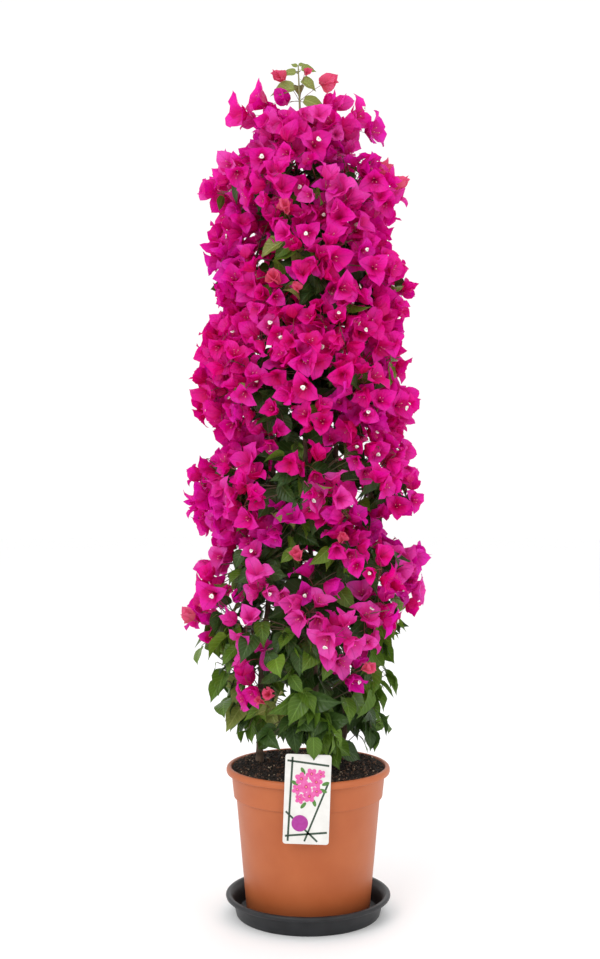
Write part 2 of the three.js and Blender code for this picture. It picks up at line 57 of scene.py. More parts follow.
SENSOR_WIDTH = 36.0


def set_up(thing, place, aim):
    """Puts a camera or a lamp in its place, turned to what it is aimed at."""
    thing.location = place
    thing.rotation_euler = (Vector(aim) - Vector(place)).to_track_quat("-Z", "Y").to_euler()
    bpy.context.scene.collection.objects.link(thing)


camera = bpy.data.objects.new("camera", bpy.data.cameras.new("camera"))
camera.data.lens = CAMERA_LENS
camera.data.sensor_width = SENSOR_WIDTH
set_up(camera, CAMERA_PLACE, CAMERA_AIM)
bpy.context.scene.camera = camera

# Studio
# A white room: a round white floor, an even white surround, and a wide soft lamp over the camera's left
# shoulder with weaker ones on the right and behind. Colours are shown as they are, with no film look.
FLOOR_RADIUS = 9.0
FLOOR_SIDES = 96
FLOOR_WHITE = (0.955, 0.955, 0.955)
SURROUND_STRENGTH = 1.04
LAMP_AIM = (0.0, 0.0, 0.6)
# Each lamp has its name, place, width and power.
SOFT_LAMPS = [
    ("key_lamp", (-1.7, -2.6, 2.5), 2.2, 42.0),
    ("fill_lamp", (2.3, -2.0, 1.3), 1.8, 12.0),
    ("back_lamp", (0.5, 2.2, 2.6), 2.0, 12.0),
]

bpy.context.scene.view_settings.view_transform = "Standard"
surround = bpy.data.worlds.new("surround")
surround.use_nodes = True
sky = surround.node_tree.nodes["Background"]
sky.inputs["Color"].default_value = (1.0, 1.0, 1.0, 1.0)
sky.inputs["Strength"].default_value = SURROUND_STRENGTH
bpy.context.scene.world = surround

for lamp_name, place, size, power in SOFT_LAMPS:
    lamp = bpy.data.objects.new(lamp_name, bpy.data.lights.new(lamp_name, "AREA"))
    lamp.data.shape = "DISK"
    lamp.data.size = size
    lamp.data.energy = power
    set_up(lamp, place, LAMP_AIM)


def finished(mesh, name, material, smooth):
    """A mesh as an object at the origin, with its material."""
    mesh.materials.append(material)
    if smooth:
        mesh.shade_smooth()
    piece = bpy.data.objects.new(name, mesh)
    bpy.context.scene.collection.objects.link(piece)
    return piece


def piece_of(shape, name, material, smooth=True):
    """A bmesh as a finished object."""
    mesh = bpy.data.meshes.new(name)
    shape.to_mesh(mesh)
    shape.free()
    return finished(mesh, name, material, smooth)


def new_material(name, colour, roughness, specular=0.5):
    """A material with the values that are the same all over it."""
    material = bpy.data.materials.new(name)
    material.use_nodes = True
    shader = material.node_tree.nodes["Principled BSDF"]
    shader.inputs["Base Color"].default_value = (*colour, 1.0)
    shader.inputs["Roughness"].default_value = roughness
    shader.inputs["Specular IOR Level"].default_value = specular
    return material


floor_shape = bmesh.new()
bmesh.ops.create_circle(floor_shape, cap_ends=True, segments=FLOOR_SIDES, radius=FLOOR_RADIUS)
floor = piece_of(floor_shape, "floor", new_material("floor_white", FLOOR_WHITE, 0.9), smooth=False)
floor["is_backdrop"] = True

# Saucer
# A deep moulded saucer in satin black plastic with a rolled lip, which the pot stands in.
# It is one piece, injection moulded, and it has a low foot that keeps its floor off the ground. From here on
# sizes are in millimetres.
MM = 0.001
SAUCER_PROFILE = [
    (0, 0.6), (100.5, 0.6), (102, 0), (104.5, 0), (105.7, 1.6), (108.2, 12), (110.6, 23.2),
    (113, 24.4), (118, 24.7), (120.3, 25.9), (121, 28), (120.7, 30), (119.1, 31.6), (116.7, 32),
    (114.7, 31.5), (113.1, 30), (110.8, 27), (108.2, 23.5), (105.6, 12), (103.3, 4.2), (101.5, 3), (0, 3),
]
ROUND_STEPS = 128
SAUCER_COLOURS = ((0.011, 0.0115, 0.013), (0.019, 0.0195, 0.022))


def add_node(tree, kind, **inputs):
    """A node with its inputs set to values or linked to outputs. In a name, _ stands for a space."""
    node = tree.nodes.new("ShaderNode" + kind)
    if kind == "Mix":
        node.data_type = "RGBA"
    for name, value in inputs.items():
        socket = node.inputs[name.replace("_", " ")]
        if isinstance(value, bpy.types.NodeSocket):
            tree.links.new(value, socket)
        else:
            socket.default_value = value
    return node


def mottled(name, colours, roughness, scale, detail=4.0, specular=0.5):
    """A material whose two colours run into each other in soft patches."""
    material = new_material(name, colours[0], roughness, specular)
    tree = material.node_tree
    place = add_node(tree, "TexCoord").outputs["Object"]
    patches = add_node(tree, "TexNoise", Vector=place, Scale=scale, Detail=detail).outputs["Fac"]
    share = add_node(tree, "MapRange", Value=patches, From_Min=0.35, From_Max=0.65).outputs["Result"]
    blend = add_node(tree, "Mix", Factor=share, A=(*colours[0], 1.0), B=(*colours[1], 1.0))
    blend.name = "patches"
    tree.links.new(blend.outputs["Result"], tree.nodes["Principled BSDF"].inputs["Base Color"])
    return material


def grain(material, scale, depth, detail=3.0, roughness=None):
    """Fine relief on a material's surface, and with it a little change in gloss."""
    tree = material.node_tree
    shader = tree.nodes["Principled BSDF"]
    place = add_node(tree, "TexCoord").outputs["Object"]
    relief = add_node(tree, "TexNoise", Vector=place, Scale=scale, Detail=detail).outputs["Fac"]
    bump = add_node(tree, "Bump", Strength=1.0, Distance=depth, Height=relief)
    tree.links.new(bump.outputs["Normal"], shader.inputs["Normal"])
    if roughness:
        gloss = add_node(tree, "MapRange", Value=relief, To_Min=roughness[0], To_Max=roughness[1])
        tree.links.new(gloss.outputs["Result"], shader.inputs["Roughness"])


def turned(profile, steps):
    """A profile of (radius, height) in millimetres, spun about the upright axis and closed at its poles."""
    shape = bmesh.new()
    points = [shape.verts.new((radius * MM, 0.0, height * MM)) for radius, height in profile]
    runs = [shape.edges.new(pair) for pair in zip(points, points[1:])]
    bmesh.ops.spin(
        shape, geom=points + runs, axis=(0, 0, 1), cent=(0, 0, 0), dvec=(0, 0, 0),
        angle=2 * math.pi, steps=steps, use_merge=True, use_duplicate=False,
    )
    bmesh.ops.remove_doubles(shape, verts=shape.verts, dist=1e-6)
    bmesh.ops.recalc_face_normals(shape, faces=shape.faces)
    return shape


def round_edges(shape, least_angle, offset):
    """Rounds the edges that turn more sharply than an angle in degrees."""
    inner_edges = [edge for edge in shape.edges if len(edge.link_faces) == 2]
    sharp = [edge for edge in inner_edges if edge.calc_face_angle() > math.radians(least_angle)]
    bmesh.ops.bevel(
        shape, geom=sharp, offset=offset, offset_type="OFFSET", affect="EDGES", segments=2,
        profile=0.5, material=-1, clamp_overlap=True,
    )


saucer_plastic = mottled("saucer_plastic", SAUCER_COLOURS, roughness=0.42, scale=38.0, specular=0.32)
grain(saucer_plastic, scale=900.0, depth=0.00008, roughness=(0.34, 0.52))
saucer_shape = turned(SAUCER_PROFILE, ROUND_STEPS)
round_edges(saucer_shape, 28, 0.5 * MM)
saucer = piece_of(saucer_shape, "saucer_moulding", saucer_plastic)
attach(saucer, "root")
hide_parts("saucer")

# Pot
# A tapered nursery pot moulded in satin terracotta-coloured plastic, with a round bead for a lip and a
# collar below it that ends in a thin step. It was made in one piece and stands on the saucer's floor.
POT_TOP = 219.0
POT_PROFILE = [
    (0, 4.2), (82, 4.2), (84, 3), (88, 3), (89.6, 3.8), (90.4, 5.6), (105.4, 172.6), (105.9, 173.6),
    (108.6, 174.2), (109.1, 175), (109.3, 176.4), (112.4, 205.6), (112.9, 207.4), (114.4, 208.2),
    (117.4, 208.3), (119.2, 209.2), (120, 211.4), (120, 214.4), (119.2, 217), (117.6, 218.5), (115.4, 219),
    (113.6, 218.4), (112.7, 216.8), (111.6, 211), (106.2, 176), (102.9, 172), (87.4, 6.4), (86, 6), (0, 6),
]
POT_COLOURS = ((0.462, 0.124, 0.040), (0.415, 0.102, 0.030))

pot_plastic = mottled("pot_plastic", POT_COLOURS, roughness=0.45, scale=14.0, detail=6.0, specular=0.32)
grain(pot_plastic, scale=1100.0, depth=0.00007, roughness=(0.36, 0.52))
pot_shape = turned(POT_PROFILE, ROUND_STEPS)
round_edges(pot_shape, 30, 0.35 * MM)
pot = piece_of(pot_shape, "pot_moulding", pot_plastic)
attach(pot, "root")
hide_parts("pot")

# Compost
# Dark fibrous compost fills the pot to just under the lip: a lumpy bed with crumbs of peat, chips of bark
# and pale grit pressed into it.
SOIL_TOP = 213.0
SOIL_REACH = 111.2
SOIL_BELOW = 190.0
SOIL_SIDE = 107.0
SOIL_DIP = 0.8
SOIL_HEAP = 5.2
HEAP_FROM = -40.0
HEAP_SPAN = 110.0
SIDE_HEAP = 0.3
LUMP_HEIGHT = 2.0
LUMP_SIZE = 21.0
CRUMBLE_HEIGHT = 1.5
CRUMBLE_SIZE = 5.0
SOIL_RINGS = 44
SOIL_STEPS = 150
SOIL_COLOURS = ((0.007, 0.005, 0.0035), (0.024, 0.015, 0.010))
CRUMB_REACH = 0.985 * SOIL_REACH
CRUMB_TURN = 2.39996
CRUMB_LUMPS = (0.65, 1.2)
CRUMB_LIFT = 0.3
# Each kind has its name, count, sizes, greatest stretch and two colours.
CRUMB_KINDS = [
    ("compost_crumbs", 2600, (1.4, 4.6), 1.4, (0.009, 0.0055, 0.0035), (0.030, 0.017, 0.011)),
    ("bark_chips", 900, (1.4, 3.4), 3.4, (0.050, 0.024, 0.014), (0.170, 0.086, 0.050)),
    ("pale_grit", 130, (1.3, 3.2), 1.9, (0.400, 0.260, 0.160), (0.560, 0.440, 0.320)),
]


def soil_height(x, y):
    """Height of the compost over a place in the pot, in millimetres. It is heaped at the back and sides."""
    edge = min(1.0, math.hypot(x, y) / SOIL_REACH)
    lumps = LUMP_HEIGHT * noise.fractal(Vector((x, y, 3.0)) / LUMP_SIZE, 0.8, 2.2, 3)
    crumble = CRUMBLE_HEIGHT * noise.fractal(Vector((x, y, 9.0)) / CRUMBLE_SIZE, 0.9, 2.0, 3)
    behind = min(1.0, max(0.0, (y - HEAP_FROM) / HEAP_SPAN))
    heaped = SOIL_HEAP * (behind * edge ** 2 + SIDE_HEAP * (x / SOIL_REACH) ** 2)
    return SOIL_TOP - SOIL_DIP + heaped + (1 - 0.6 * edge ** 4) * lumps + crumble


soil_rise = [(SOIL_REACH * (1 - (i / SOIL_RINGS) ** 1.2), SOIL_TOP) for i in range(SOIL_RINGS + 1)]
soil_shape = turned([(0, SOIL_BELOW), (SOIL_SIDE, SOIL_BELOW), *soil_rise], SOIL_STEPS)
for vert in soil_shape.verts:
    if vert.co.z > (SOIL_BELOW + 10) * MM:
        vert.co.z = soil_height(vert.co.x / MM, vert.co.y / MM) * MM
compost = mottled("compost", SOIL_COLOURS, roughness=0.95, scale=210.0, detail=8.0)
grain(compost, scale=520.0, depth=0.0012, detail=8.0)
soil = piece_of(soil_shape, "compost_bed", compost)
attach(soil, "root")
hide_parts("soil")


def arrays_of(shape):
    """A bmesh as arrays: points, triangles, and the UV of each triangle's corners."""
    bmesh.ops.triangulate(shape, faces=shape.faces)
    shape.verts.index_update()
    layer = shape.loops.layers.uv.active
    points = np.array([vert.co[:] for vert in shape.verts])
    sides = [face.loops[:] for face in shape.faces]
    triangles = np.array([[loop.vert.index for loop in loops] for loops in sides])
    corners = np.array([[loop[layer].uv[:] if layer else (0, 0) for loop in loops] for loops in sides])
    shape.free()
    return points, triangles, corners


def joined(name, heaps, material, smooth=True):
    """One piece from many placed copies. Each heap is (points, triangles, corners, turns, places), in
    millimetres."""
    all_points, all_triangles, all_corners, count = [], [], [], 0
    for points, triangles, corners, turns, places in heaps:
        if len(places) == 0:
            continue
        placed = np.einsum("kij,nj->kni", np.array(turns), points) + np.array(places)[:, None, :]
        steps = count + len(points) * np.arange(len(places))
        all_points.append(placed.reshape(-1, 3))
        all_triangles.append((triangles[None] + steps[:, None, None]).reshape(-1, 3))
        all_corners.append(np.broadcast_to(corners, (len(places), *corners.shape)).reshape(-1, 2))
        count += len(points) * len(places)
    points = np.concatenate(all_points) * MM
    triangles = np.concatenate(all_triangles)
    mesh = bpy.data.meshes.new(name)
    mesh.vertices.add(len(points))
    mesh.vertices.foreach_set("co", points.ravel())
    mesh.loops.add(3 * len(triangles))
    mesh.loops.foreach_set("vertex_index", triangles.ravel())
    mesh.polygons.add(len(triangles))
    mesh.polygons.foreach_set("loop_start", np.arange(0, 3 * len(triangles), 3))
    mesh.uv_layers.new(name="UVMap").data.foreach_set("uv", np.concatenate(all_corners).ravel())
    mesh.update(calc_edges=True)
    return finished(mesh, name, material, smooth)


def any_turn(random):
    """A turn of any kind, as a matrix."""
    return np.array(Matrix.Rotation(random.uniform(0, 2 * math.pi), 3, Vector(random.normal(size=3))))


crumb_random = np.random.default_rng(11)
for crumb_name, crumb_count, crumb_size, longest, crumb_dark, crumb_light in CRUMB_KINDS:
    crumb_shape = bmesh.new()
    bmesh.ops.create_icosphere(crumb_shape, subdivisions=1, radius=1.0)
    for vert in crumb_shape.verts:
        vert.co *= crumb_random.uniform(*CRUMB_LUMPS)
    crumb = arrays_of(crumb_shape)
    crumb_turns, crumb_places = [], []
    for i in range(crumb_count):
        out = CRUMB_REACH * math.sqrt(crumb_random.uniform())
        x, y = out * math.cos(i * CRUMB_TURN), out * math.sin(i * CRUMB_TURN)
        half = crumb_random.uniform(*crumb_size) / 2
        long, thick = half * crumb_random.uniform(1, longest), half * crumb_random.uniform(0.5, 1)
        crumb_turns.append(any_turn(crumb_random) @ np.diag([long, half, thick]))
        crumb_places.append([x, y, soil_height(x, y) + CRUMB_LIFT * half])
    crumb_material = mottled(crumb_name, (crumb_dark, crumb_light), roughness=0.9, scale=330.0)
    grain(crumb_material, scale=1500.0, depth=0.0002)
    crumb_piece = joined(crumb_name, [(*crumb, crumb_turns, crumb_places)], crumb_material, smooth=False)
    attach(crumb_piece, "root")

# Plant label
# A card of stiff white plastic that hangs over the pot's lip by a hook behind it and leans a little left.
# Its print is a plain one of bars, simple five-petalled blossoms and a disc, with no words on it.
CARD_WIDTH = 64.0
CARD_HEIGHT = 125.0
CARD_THICK = 1.2
CARD_CORNER = 4.0
CARD_TOP = 260.0
CARD_BACK = -120.6
CARD_LEAN = 2.0
HOOK_WIDTH = 14.0
HOOK_THICK = 1.6
HOOK_BACK = -110.07
CARD_COLOURS = ((0.735, 0.725, 0.695), (0.650, 0.640, 0.600))
PRINT_GREEN = ((0.020, 0.044, 0.026), (0.030, 0.060, 0.034))
PRINT_LEAF = ((0.080, 0.220, 0.030), (0.050, 0.150, 0.022))
PRINT_PINK = ((0.640, 0.060, 0.290), (0.680, 0.130, 0.380))
PRINT_ROSE = ((0.520, 0.014, 0.170), (0.580, 0.030, 0.220))
PRINT_YELLOW = ((0.700, 0.440, 0.070), (0.740, 0.560, 0.240))
PRINT_MAGENTA = ((0.330, 0.016, 0.240), (0.360, 0.024, 0.270))
BAR_LEVELS = (-0.02, 0.12)
LEAF_LEVELS = (0.0, 0.16)
PETAL_LEVELS = (0.0, 0.22)
THROAT_LEVELS = (0.1, 0.34)
HEART_LEVELS = (0.2, 0.4)
DISC_LEVELS = (0.0, 0.24)
PETAL_STEP = 0.02
PETAL_OUT = 0.319
PETAL_WIDTH = 0.46
PETAL_LENGTH = 0.58
THROAT_WIDTH = 0.34
HEART_WIDTH = 0.12
LEAF_PRINT = (5.0, 11.0)
# A bar has its two ends and its width, a blossom its middle, width and turn, and a leaf its middle and turn,
# all measured from the middle of the card's top edge.
CARD_BARS = [
    ((-29, -9), (29, -15), 2.8), ((-29, -114), (29, -108), 2.8), ((-22, -4), (-25, -121), 2.8),
    ((29, -38), (-2, -121), 2.6), ((-29, -80), (16, -121), 2.6),
]
CARD_BLOSSOMS = [
    (-9, -34, 15.5, 10), (5, -27, 14.0, 50), (-2, -45, 16.0, 30), (12, -38, 14.5, 5), (-14, -49, 13.0, 60),
    (3, -58, 15.0, 20), (18, -27, 11.0, 40), (-10, -62, 12.0, 0), (13, -51, 12.5, 66),
]
CARD_LEAVES = [(-18, -40, 150), (25, -40, 20), (-5, -71, 230), (10, -67, 290), (22, -50, 340), (-7, -23, 120)]
CARD_DISC = (-9, -96, 11.5)


def on_card(shape):
    """Carries a shape drawn flat, in millimetres below the card's top edge, to the card's front face."""
    lean = Matrix.Rotation(math.radians(-CARD_LEAN), 4, "Z")
    stand = Matrix.Rotation(math.radians(90), 4, "X")
    shift = Matrix.Translation((0, (CARD_BACK - CARD_THICK) * MM, CARD_TOP * MM))
    bmesh.ops.transform(shape, matrix=shift @ stand @ lean @ Matrix.Scale(MM, 4), verts=shape.verts)
    return shape


def plate(shape, made, x, y, turn, size, levels):
    """Makes a unit solid, just made, a thin plate between two levels, and turns and places it."""
    low, high = levels
    place = Matrix.Translation((x, y, (low + high) / 2)) @ Matrix.Rotation(math.radians(turn), 4, "Z")
    bmesh.ops.transform(shape, matrix=place @ Matrix.Diagonal((*size, high - low, 1)), verts=made["verts"])


def oval(shape, x, y, width, length, turn, levels, sides=12):
    """A thin oval plate, drawn flat."""
    made = bmesh.ops.create_cone(shape, cap_ends=True, segments=sides, radius1=0.5, radius2=0.5, depth=1.0)
    plate(shape, made, x, y, turn, (length, width), levels)


def printed(name, ink_colours, shape):
    """A layer of print on the card: thin plates in one ink."""
    ink = mottled(name, ink_colours, roughness=0.36, scale=260.0)
    layer = piece_of(on_card(shape), name, ink, smooth=False)
    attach(layer, "root")


card_plastic = mottled("card_plastic", CARD_COLOURS, roughness=0.38, scale=55.0, detail=6.0)
grain(card_plastic, scale=700.0, depth=0.00003)

card_shape = bmesh.new()
bmesh.ops.create_cube(card_shape, size=1.0)
card_size = Matrix.Diagonal((CARD_WIDTH, CARD_HEIGHT, CARD_THICK, 1))
card_place = Matrix.Translation((0, -CARD_HEIGHT / 2, -CARD_THICK / 2))
bmesh.ops.transform(card_shape, matrix=card_place @ card_size, verts=card_shape.verts)
card_corners = [edge for edge in card_shape.edges if abs(edge.verts[0].co.z - edge.verts[1].co.z) > 0.5]
bmesh.ops.bevel(
    card_shape, geom=card_corners, offset=CARD_CORNER, offset_type="OFFSET", affect="EDGES", segments=6,
    profile=0.5, material=-1,
)
round_edges(card_shape, 60, 0.2)
card = piece_of(on_card(card_shape), "label_card", card_plastic, smooth=False)
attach(card, "root")
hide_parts("label")

HOOK_TOP = POT_TOP + 0.3 + HOOK_THICK
HOOK_RUN = [
    (CARD_BACK - 0.4, HOOK_TOP - HOOK_THICK), (CARD_BACK - 0.4, HOOK_TOP), (HOOK_BACK + HOOK_THICK, HOOK_TOP),
    (HOOK_BACK + HOOK_THICK, SOIL_TOP + 1), (HOOK_BACK, SOIL_TOP + 1), (HOOK_BACK, HOOK_TOP - HOOK_THICK),
]
hook_shape = bmesh.new()
hook_side = [hook_shape.verts.new((-HOOK_WIDTH / 2 * MM, y * MM, z * MM)) for y, z in HOOK_RUN]
hook_face = hook_shape.faces.new(hook_side)
hook_other = bmesh.ops.extrude_face_region(hook_shape, geom=[hook_face])
hook_moved = [part for part in hook_other["geom"] if isinstance(part, bmesh.types.BMVert)]
bmesh.ops.translate(hook_shape, verts=hook_moved, vec=(HOOK_WIDTH * MM, 0, 0))
bmesh.ops.recalc_face_normals(hook_shape, faces=hook_shape.faces)
round_edges(hook_shape, 60, 0.3 * MM)
hook = piece_of(hook_shape, "label_hook", card_plastic, smooth=False)
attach(hook, "root")

bars_shape = bmesh.new()
for (x1, y1), (x2, y2), width in CARD_BARS:
    made = bmesh.ops.create_cube(bars_shape, size=1.0)
    size = (math.hypot(x2 - x1, y2 - y1), width)
    turn = math.degrees(math.atan2(y2 - y1, x2 - x1))
    plate(bars_shape, made, (x1 + x2) / 2, (y1 + y2) / 2, turn, size, BAR_LEVELS)
printed("print_bars", PRINT_GREEN, bars_shape)

leaves_shape = bmesh.new()
for x, y, turn in CARD_LEAVES:
    oval(leaves_shape, x, y, *LEAF_PRINT, turn, LEAF_LEVELS)
printed("print_leaves", PRINT_LEAF, leaves_shape)

petals_shape, throats_shape, hearts_shape = bmesh.new(), bmesh.new(), bmesh.new()
for x, y, across, turn in CARD_BLOSSOMS:
    for petal in range(5):
        petal_turn = turn + 72 * petal
        petal_x = x + PETAL_OUT * across * math.cos(math.radians(petal_turn))
        petal_y = y + PETAL_OUT * across * math.sin(math.radians(petal_turn))
        levels = (PETAL_LEVELS[0], PETAL_LEVELS[1] + PETAL_STEP * petal)
        oval(petals_shape, petal_x, petal_y, PETAL_WIDTH * across, PETAL_LENGTH * across, petal_turn, levels)
    oval(throats_shape, x, y, THROAT_WIDTH * across, THROAT_WIDTH * across, 0, THROAT_LEVELS)
    oval(hearts_shape, x, y, HEART_WIDTH * across, HEART_WIDTH * across, 0, HEART_LEVELS)
printed("print_petals", PRINT_PINK, petals_shape)
printed("print_throats", PRINT_ROSE, throats_shape)
printed("print_hearts", PRINT_YELLOW, hearts_shape)

disc_shape = bmesh.new()
disc_x, disc_y, disc_radius = CARD_DISC
oval(disc_shape, disc_x, disc_y, 2 * disc_radius, 2 * disc_radius, 0, DISC_LEVELS, sides=40)
printed("print_disc", PRINT_MAGENTA, disc_shape)

# Stems
# Three woody stems come up through the compost near the pot's wall, climb, and draw together in the crown.
# Their bark is dark brown with fine ridges, and swollen rings where leaves once stood. A foot, a climb and a
# head are each an angle about the plant's middle in degrees and a distance from it.
STEMS = [
    {"foot": (150, 84), "climb": (154, 80), "head": (178, 17), "head_z": 1100, "radius": (4.6, 2.3)},
    {"foot": (58, 92), "climb": (42, 84), "head": (4, 18), "head_z": 1100, "radius": (4.8, 2.3)},
    {"foot": (-75, 62), "climb": (-80, 62), "head": (-164, 12), "head_z": 1164, "radius": (4.4, 1.9)},
]
CLIMB_Z = 300.0
STEM_FLARE = 0.55
FLARE_LENGTH = 14.0
STEM_SWAY = 3.5
SWAY_RATE = 19
STEM_SIDES = 20
STEM_RINGS = 230
STEM_SUNK = 5.0
RIDGE_HEIGHT = 0.28
RIDGES_ROUND = 2.2
RIDGE_LENGTH = 22.0
SCAR_STEP = 38.0
SCAR_DRIFT = 9
DRIFT_LENGTH = 90.0
SCAR_HEIGHT = 0.42
SCAR_MIDDLE = 6
SCAR_WIDTH = 2.6
LIMB_END = 0.02
BARK_COLOURS = ((0.062, 0.036, 0.022), (0.150, 0.098, 0.062))
UP = np.array([0.0, 0.0, 1.0])


def mix(a, b, t):
    """The value a share t of the way from a to b."""
    return a + (b - a) * t


def unit(vector):
    """A vector of length 1 in the same direction."""
    return vector / np.linalg.norm(vector)


def polar(angle, radius, z):
    """A point at an angle in degrees about the plant's middle."""
    return np.array([radius * math.cos(math.radians(angle)), radius * math.sin(math.radians(angle)), z])


def stem_point(stem, z):
    """The middle of a stem at a height."""
    z = min(max(z, SOIL_TOP - STEM_SUNK), stem["head_z"])
    t = (z - SOIL_TOP) / (stem["head_z"] - SOIL_TOP)
    low = min(1.0, max(0.0, (z - SOIL_TOP) / (CLIMB_Z - SOIL_TOP)))
    low = low * low * (3 - 2 * low)
    high = max(0.0, (z - CLIMB_Z) / (stem["head_z"] - CLIMB_Z))
    angle = mix(mix(stem["foot"][0], stem["climb"][0], low), stem["head"][0], high * high)
    radius = mix(mix(stem["foot"][1], stem["climb"][1], low), stem["head"][1], high)
    sway = STEM_SWAY * math.sin(t * SWAY_RATE + stem["foot"][0]) * math.sin(math.pi * t)
    return polar(angle, radius + sway, z)


def on_stem(z, target):
    """The middle, at a height, of the stem that comes nearest to a target there."""
    return min((stem_point(stem, z) for stem in STEMS), key=lambda point: np.linalg.norm(point - target))


def stem_radius(stem, z):
    """A stem's radius at a height: an even taper, and a flare at the foot."""
    along = (z - SOIL_TOP) / (stem["head_z"] - SOIL_TOP)
    flare = 1 + STEM_FLARE * math.exp(-max(0.0, z - SOIL_TOP) / FLARE_LENGTH)
    return mix(stem["radius"][0], stem["radius"][1], along) * flare


def limb(shape, points, radii, sides, relief):
    """A grid rolled into a tube along a run of points, closed at both ends, with relief on its radius."""
    made = bmesh.ops.create_grid(shape, x_segments=sides, y_segments=len(points) - 1, size=0.5)
    tangents = np.gradient(points, axis=0)
    for vert in made["verts"]:
        ring = round((vert.co.y + 0.5) * (len(points) - 1))
        turn = 2 * math.pi * (vert.co.x + 0.5)
        tangent = unit(tangents[ring])
        side = unit(np.cross([0.0, 1.0, 0.0], tangent))
        front = np.cross(tangent, side)
        radius = radii[ring] + relief(turn, points[ring])
        if ring in (0, len(points) - 1):
            radius *= LIMB_END
        vert.co = (points[ring] + radius * (math.cos(turn) * side + math.sin(turn) * front)) * MM


def stem_relief(turn, point):
    """Ridges along the bark, and a swollen ring at each leaf scar."""
    x, y = RIDGES_ROUND * math.cos(turn), RIDGES_ROUND * math.sin(turn)
    ridges = RIDGE_HEIGHT * noise.fractal(Vector((x, y, point[2] / RIDGE_LENGTH)), 0.8, 2.0, 3)
    past = (point[2] + SCAR_DRIFT * math.sin(point[2] / DRIFT_LENGTH)) % SCAR_STEP
    return ridges + SCAR_HEIGHT * math.exp(-((past - SCAR_MIDDLE) / SCAR_WIDTH) ** 2)


stems_shape = bmesh.new()
for stem in STEMS:
    heights = np.linspace(SOIL_TOP - STEM_SUNK, stem["head_z"], STEM_RINGS + 1)
    run = np.array([stem_point(stem, z) for z in heights])
    run[0, 2] = heights[0]
    limb(stems_shape, run, [stem_radius(stem, z) for z in heights], STEM_SIDES, stem_relief)
bmesh.ops.remove_doubles(stems_shape, verts=stems_shape.verts, dist=1e-6)
bmesh.ops.recalc_face_normals(stems_shape, faces=stems_shape.faces)

bark = mottled("stem_bark", BARK_COLOURS, roughness=0.85, scale=120.0, detail=8.0)
grain(bark, scale=480.0, depth=0.0006, detail=6.0)
stems_piece = piece_of(stems_shape, "stems_bark", bark)
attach(stems_piece, "root")
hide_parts("stem_left", "stem_right", "stem_front")

# Boughs
# Each bough leaves the nearest stem with a low arch and ends where it enters its mass of foliage.
# The crown's tiers and reach, which the masses and their twigs keep to, are the same as in the solids: a
# tier's height, half its height, its reach to the left and right, its pinch, and its masses and their turn.
TIER_WORDS = ("name", "z", "half", "left", "right", "pinch", "count", "turn")
TIERS = [dict(zip(TIER_WORDS, values)) for values in (
    ("foot", 310, 64, 148, 138, 0.26, 3, 30),
    ("skirt", 425, 58, 194, 178, 0.18, 4, 0),
    ("hip", 520, 50, 174, 184, 0.22, 4, 45),
    ("waist", 630, 68, 182, 168, 0.22, 4, 0),
    ("middle", 785, 84, 182, 162, 0.2, 4, 45),
    ("chest", 935, 72, 152, 162, 0.16, 4, 0),
    ("shoulder", 1056, 60, 160, 142, 0.2, 3, 90),
    ("crown", 1158, 66, 126, 110, 0.62, 3, -90),
)]
BOUGH_TIERS = ["foot", "skirt", "hip", "waist", "middle", "chest"]
CENTRE_SHARE = 0.6
BOUGH_RISE = 40.0
LOWEST_BOUGH = SOIL_TOP + 25
BOUGH_ENTRY = 0.43
BOUGH_DROP = 6.0
BOUGH_ARCH = 6.0
BOUGH_RADIUS = (2.6, 1.9)
BOUGH_SIDES = 10
BOUGH_RINGS = 16
BOUGH_RELIEF = 0.4
STREAM_FACTOR = 1664525
STREAM_STEP = 1013904223


def stream(seed):
    """A seeded stream of numbers from 0 to 1, the same as in the solids."""
    state = seed

    def draw():
        """The stream's next number."""
        nonlocal state
        state = (state * STREAM_FACTOR + STREAM_STEP) % 2 ** 32
        return state / 2 ** 32

    return draw


def reach_at(z, angle):
    """The crown's reach at a height and an angle."""
    tier = min(TIERS, key=lambda one: abs(z - one["z"]) / one["half"])
    full = mix(tier["left"], tier["right"], 0.5 + 0.5 * math.cos(math.radians(angle)))
    return full * (1 - tier["pinch"] * min(1.0, abs(z - tier["z"]) / tier["half"]) ** 3)


def bezier(start, middle, end, t):
    """A point on the arch that a middle point pulls between a start and an end."""
    return start * (1 - t) ** 2 + middle * 2 * t * (1 - t) + end * t * t


def grow_bough(mass):
    """The points of a bough's middle, from inside its stem to the mass."""
    entry = polar(mass["angle"], BOUGH_ENTRY * mass["reach"], mass["centre"][2] - BOUGH_DROP)
    start = on_stem(max(mass["centre"][2] - BOUGH_RISE, LOWEST_BOUGH), entry)
    middle = mix(start, entry, 0.5) - BOUGH_ARCH * UP
    return np.array([bezier(start, middle, entry, t) for t in np.linspace(0, 1, BOUGH_RINGS + 1)])


masses = []
for level, tier in enumerate(TIERS):
    for i in range(tier["count"]):
        angle = tier["turn"] + 360 * i / tier["count"]
        reach = reach_at(tier["z"], angle)
        masses.append({
            "node": f"foliage_{tier['name']}_{i + 1}",
            "bough": f"bough_{tier['name']}_{i + 1}" if tier["name"] in BOUGH_TIERS else None,
            "tier": tier,
            "angle": angle,
            "reach": reach,
            "centre": polar(angle, CENTRE_SHARE * reach, tier["z"]),
            "random": stream(1000 * (level + 1) + 17 * i + 5),
        })


def bough_relief(turn, point):
    """The stems' bark, finer."""
    return BOUGH_RELIEF * stem_relief(turn, point)


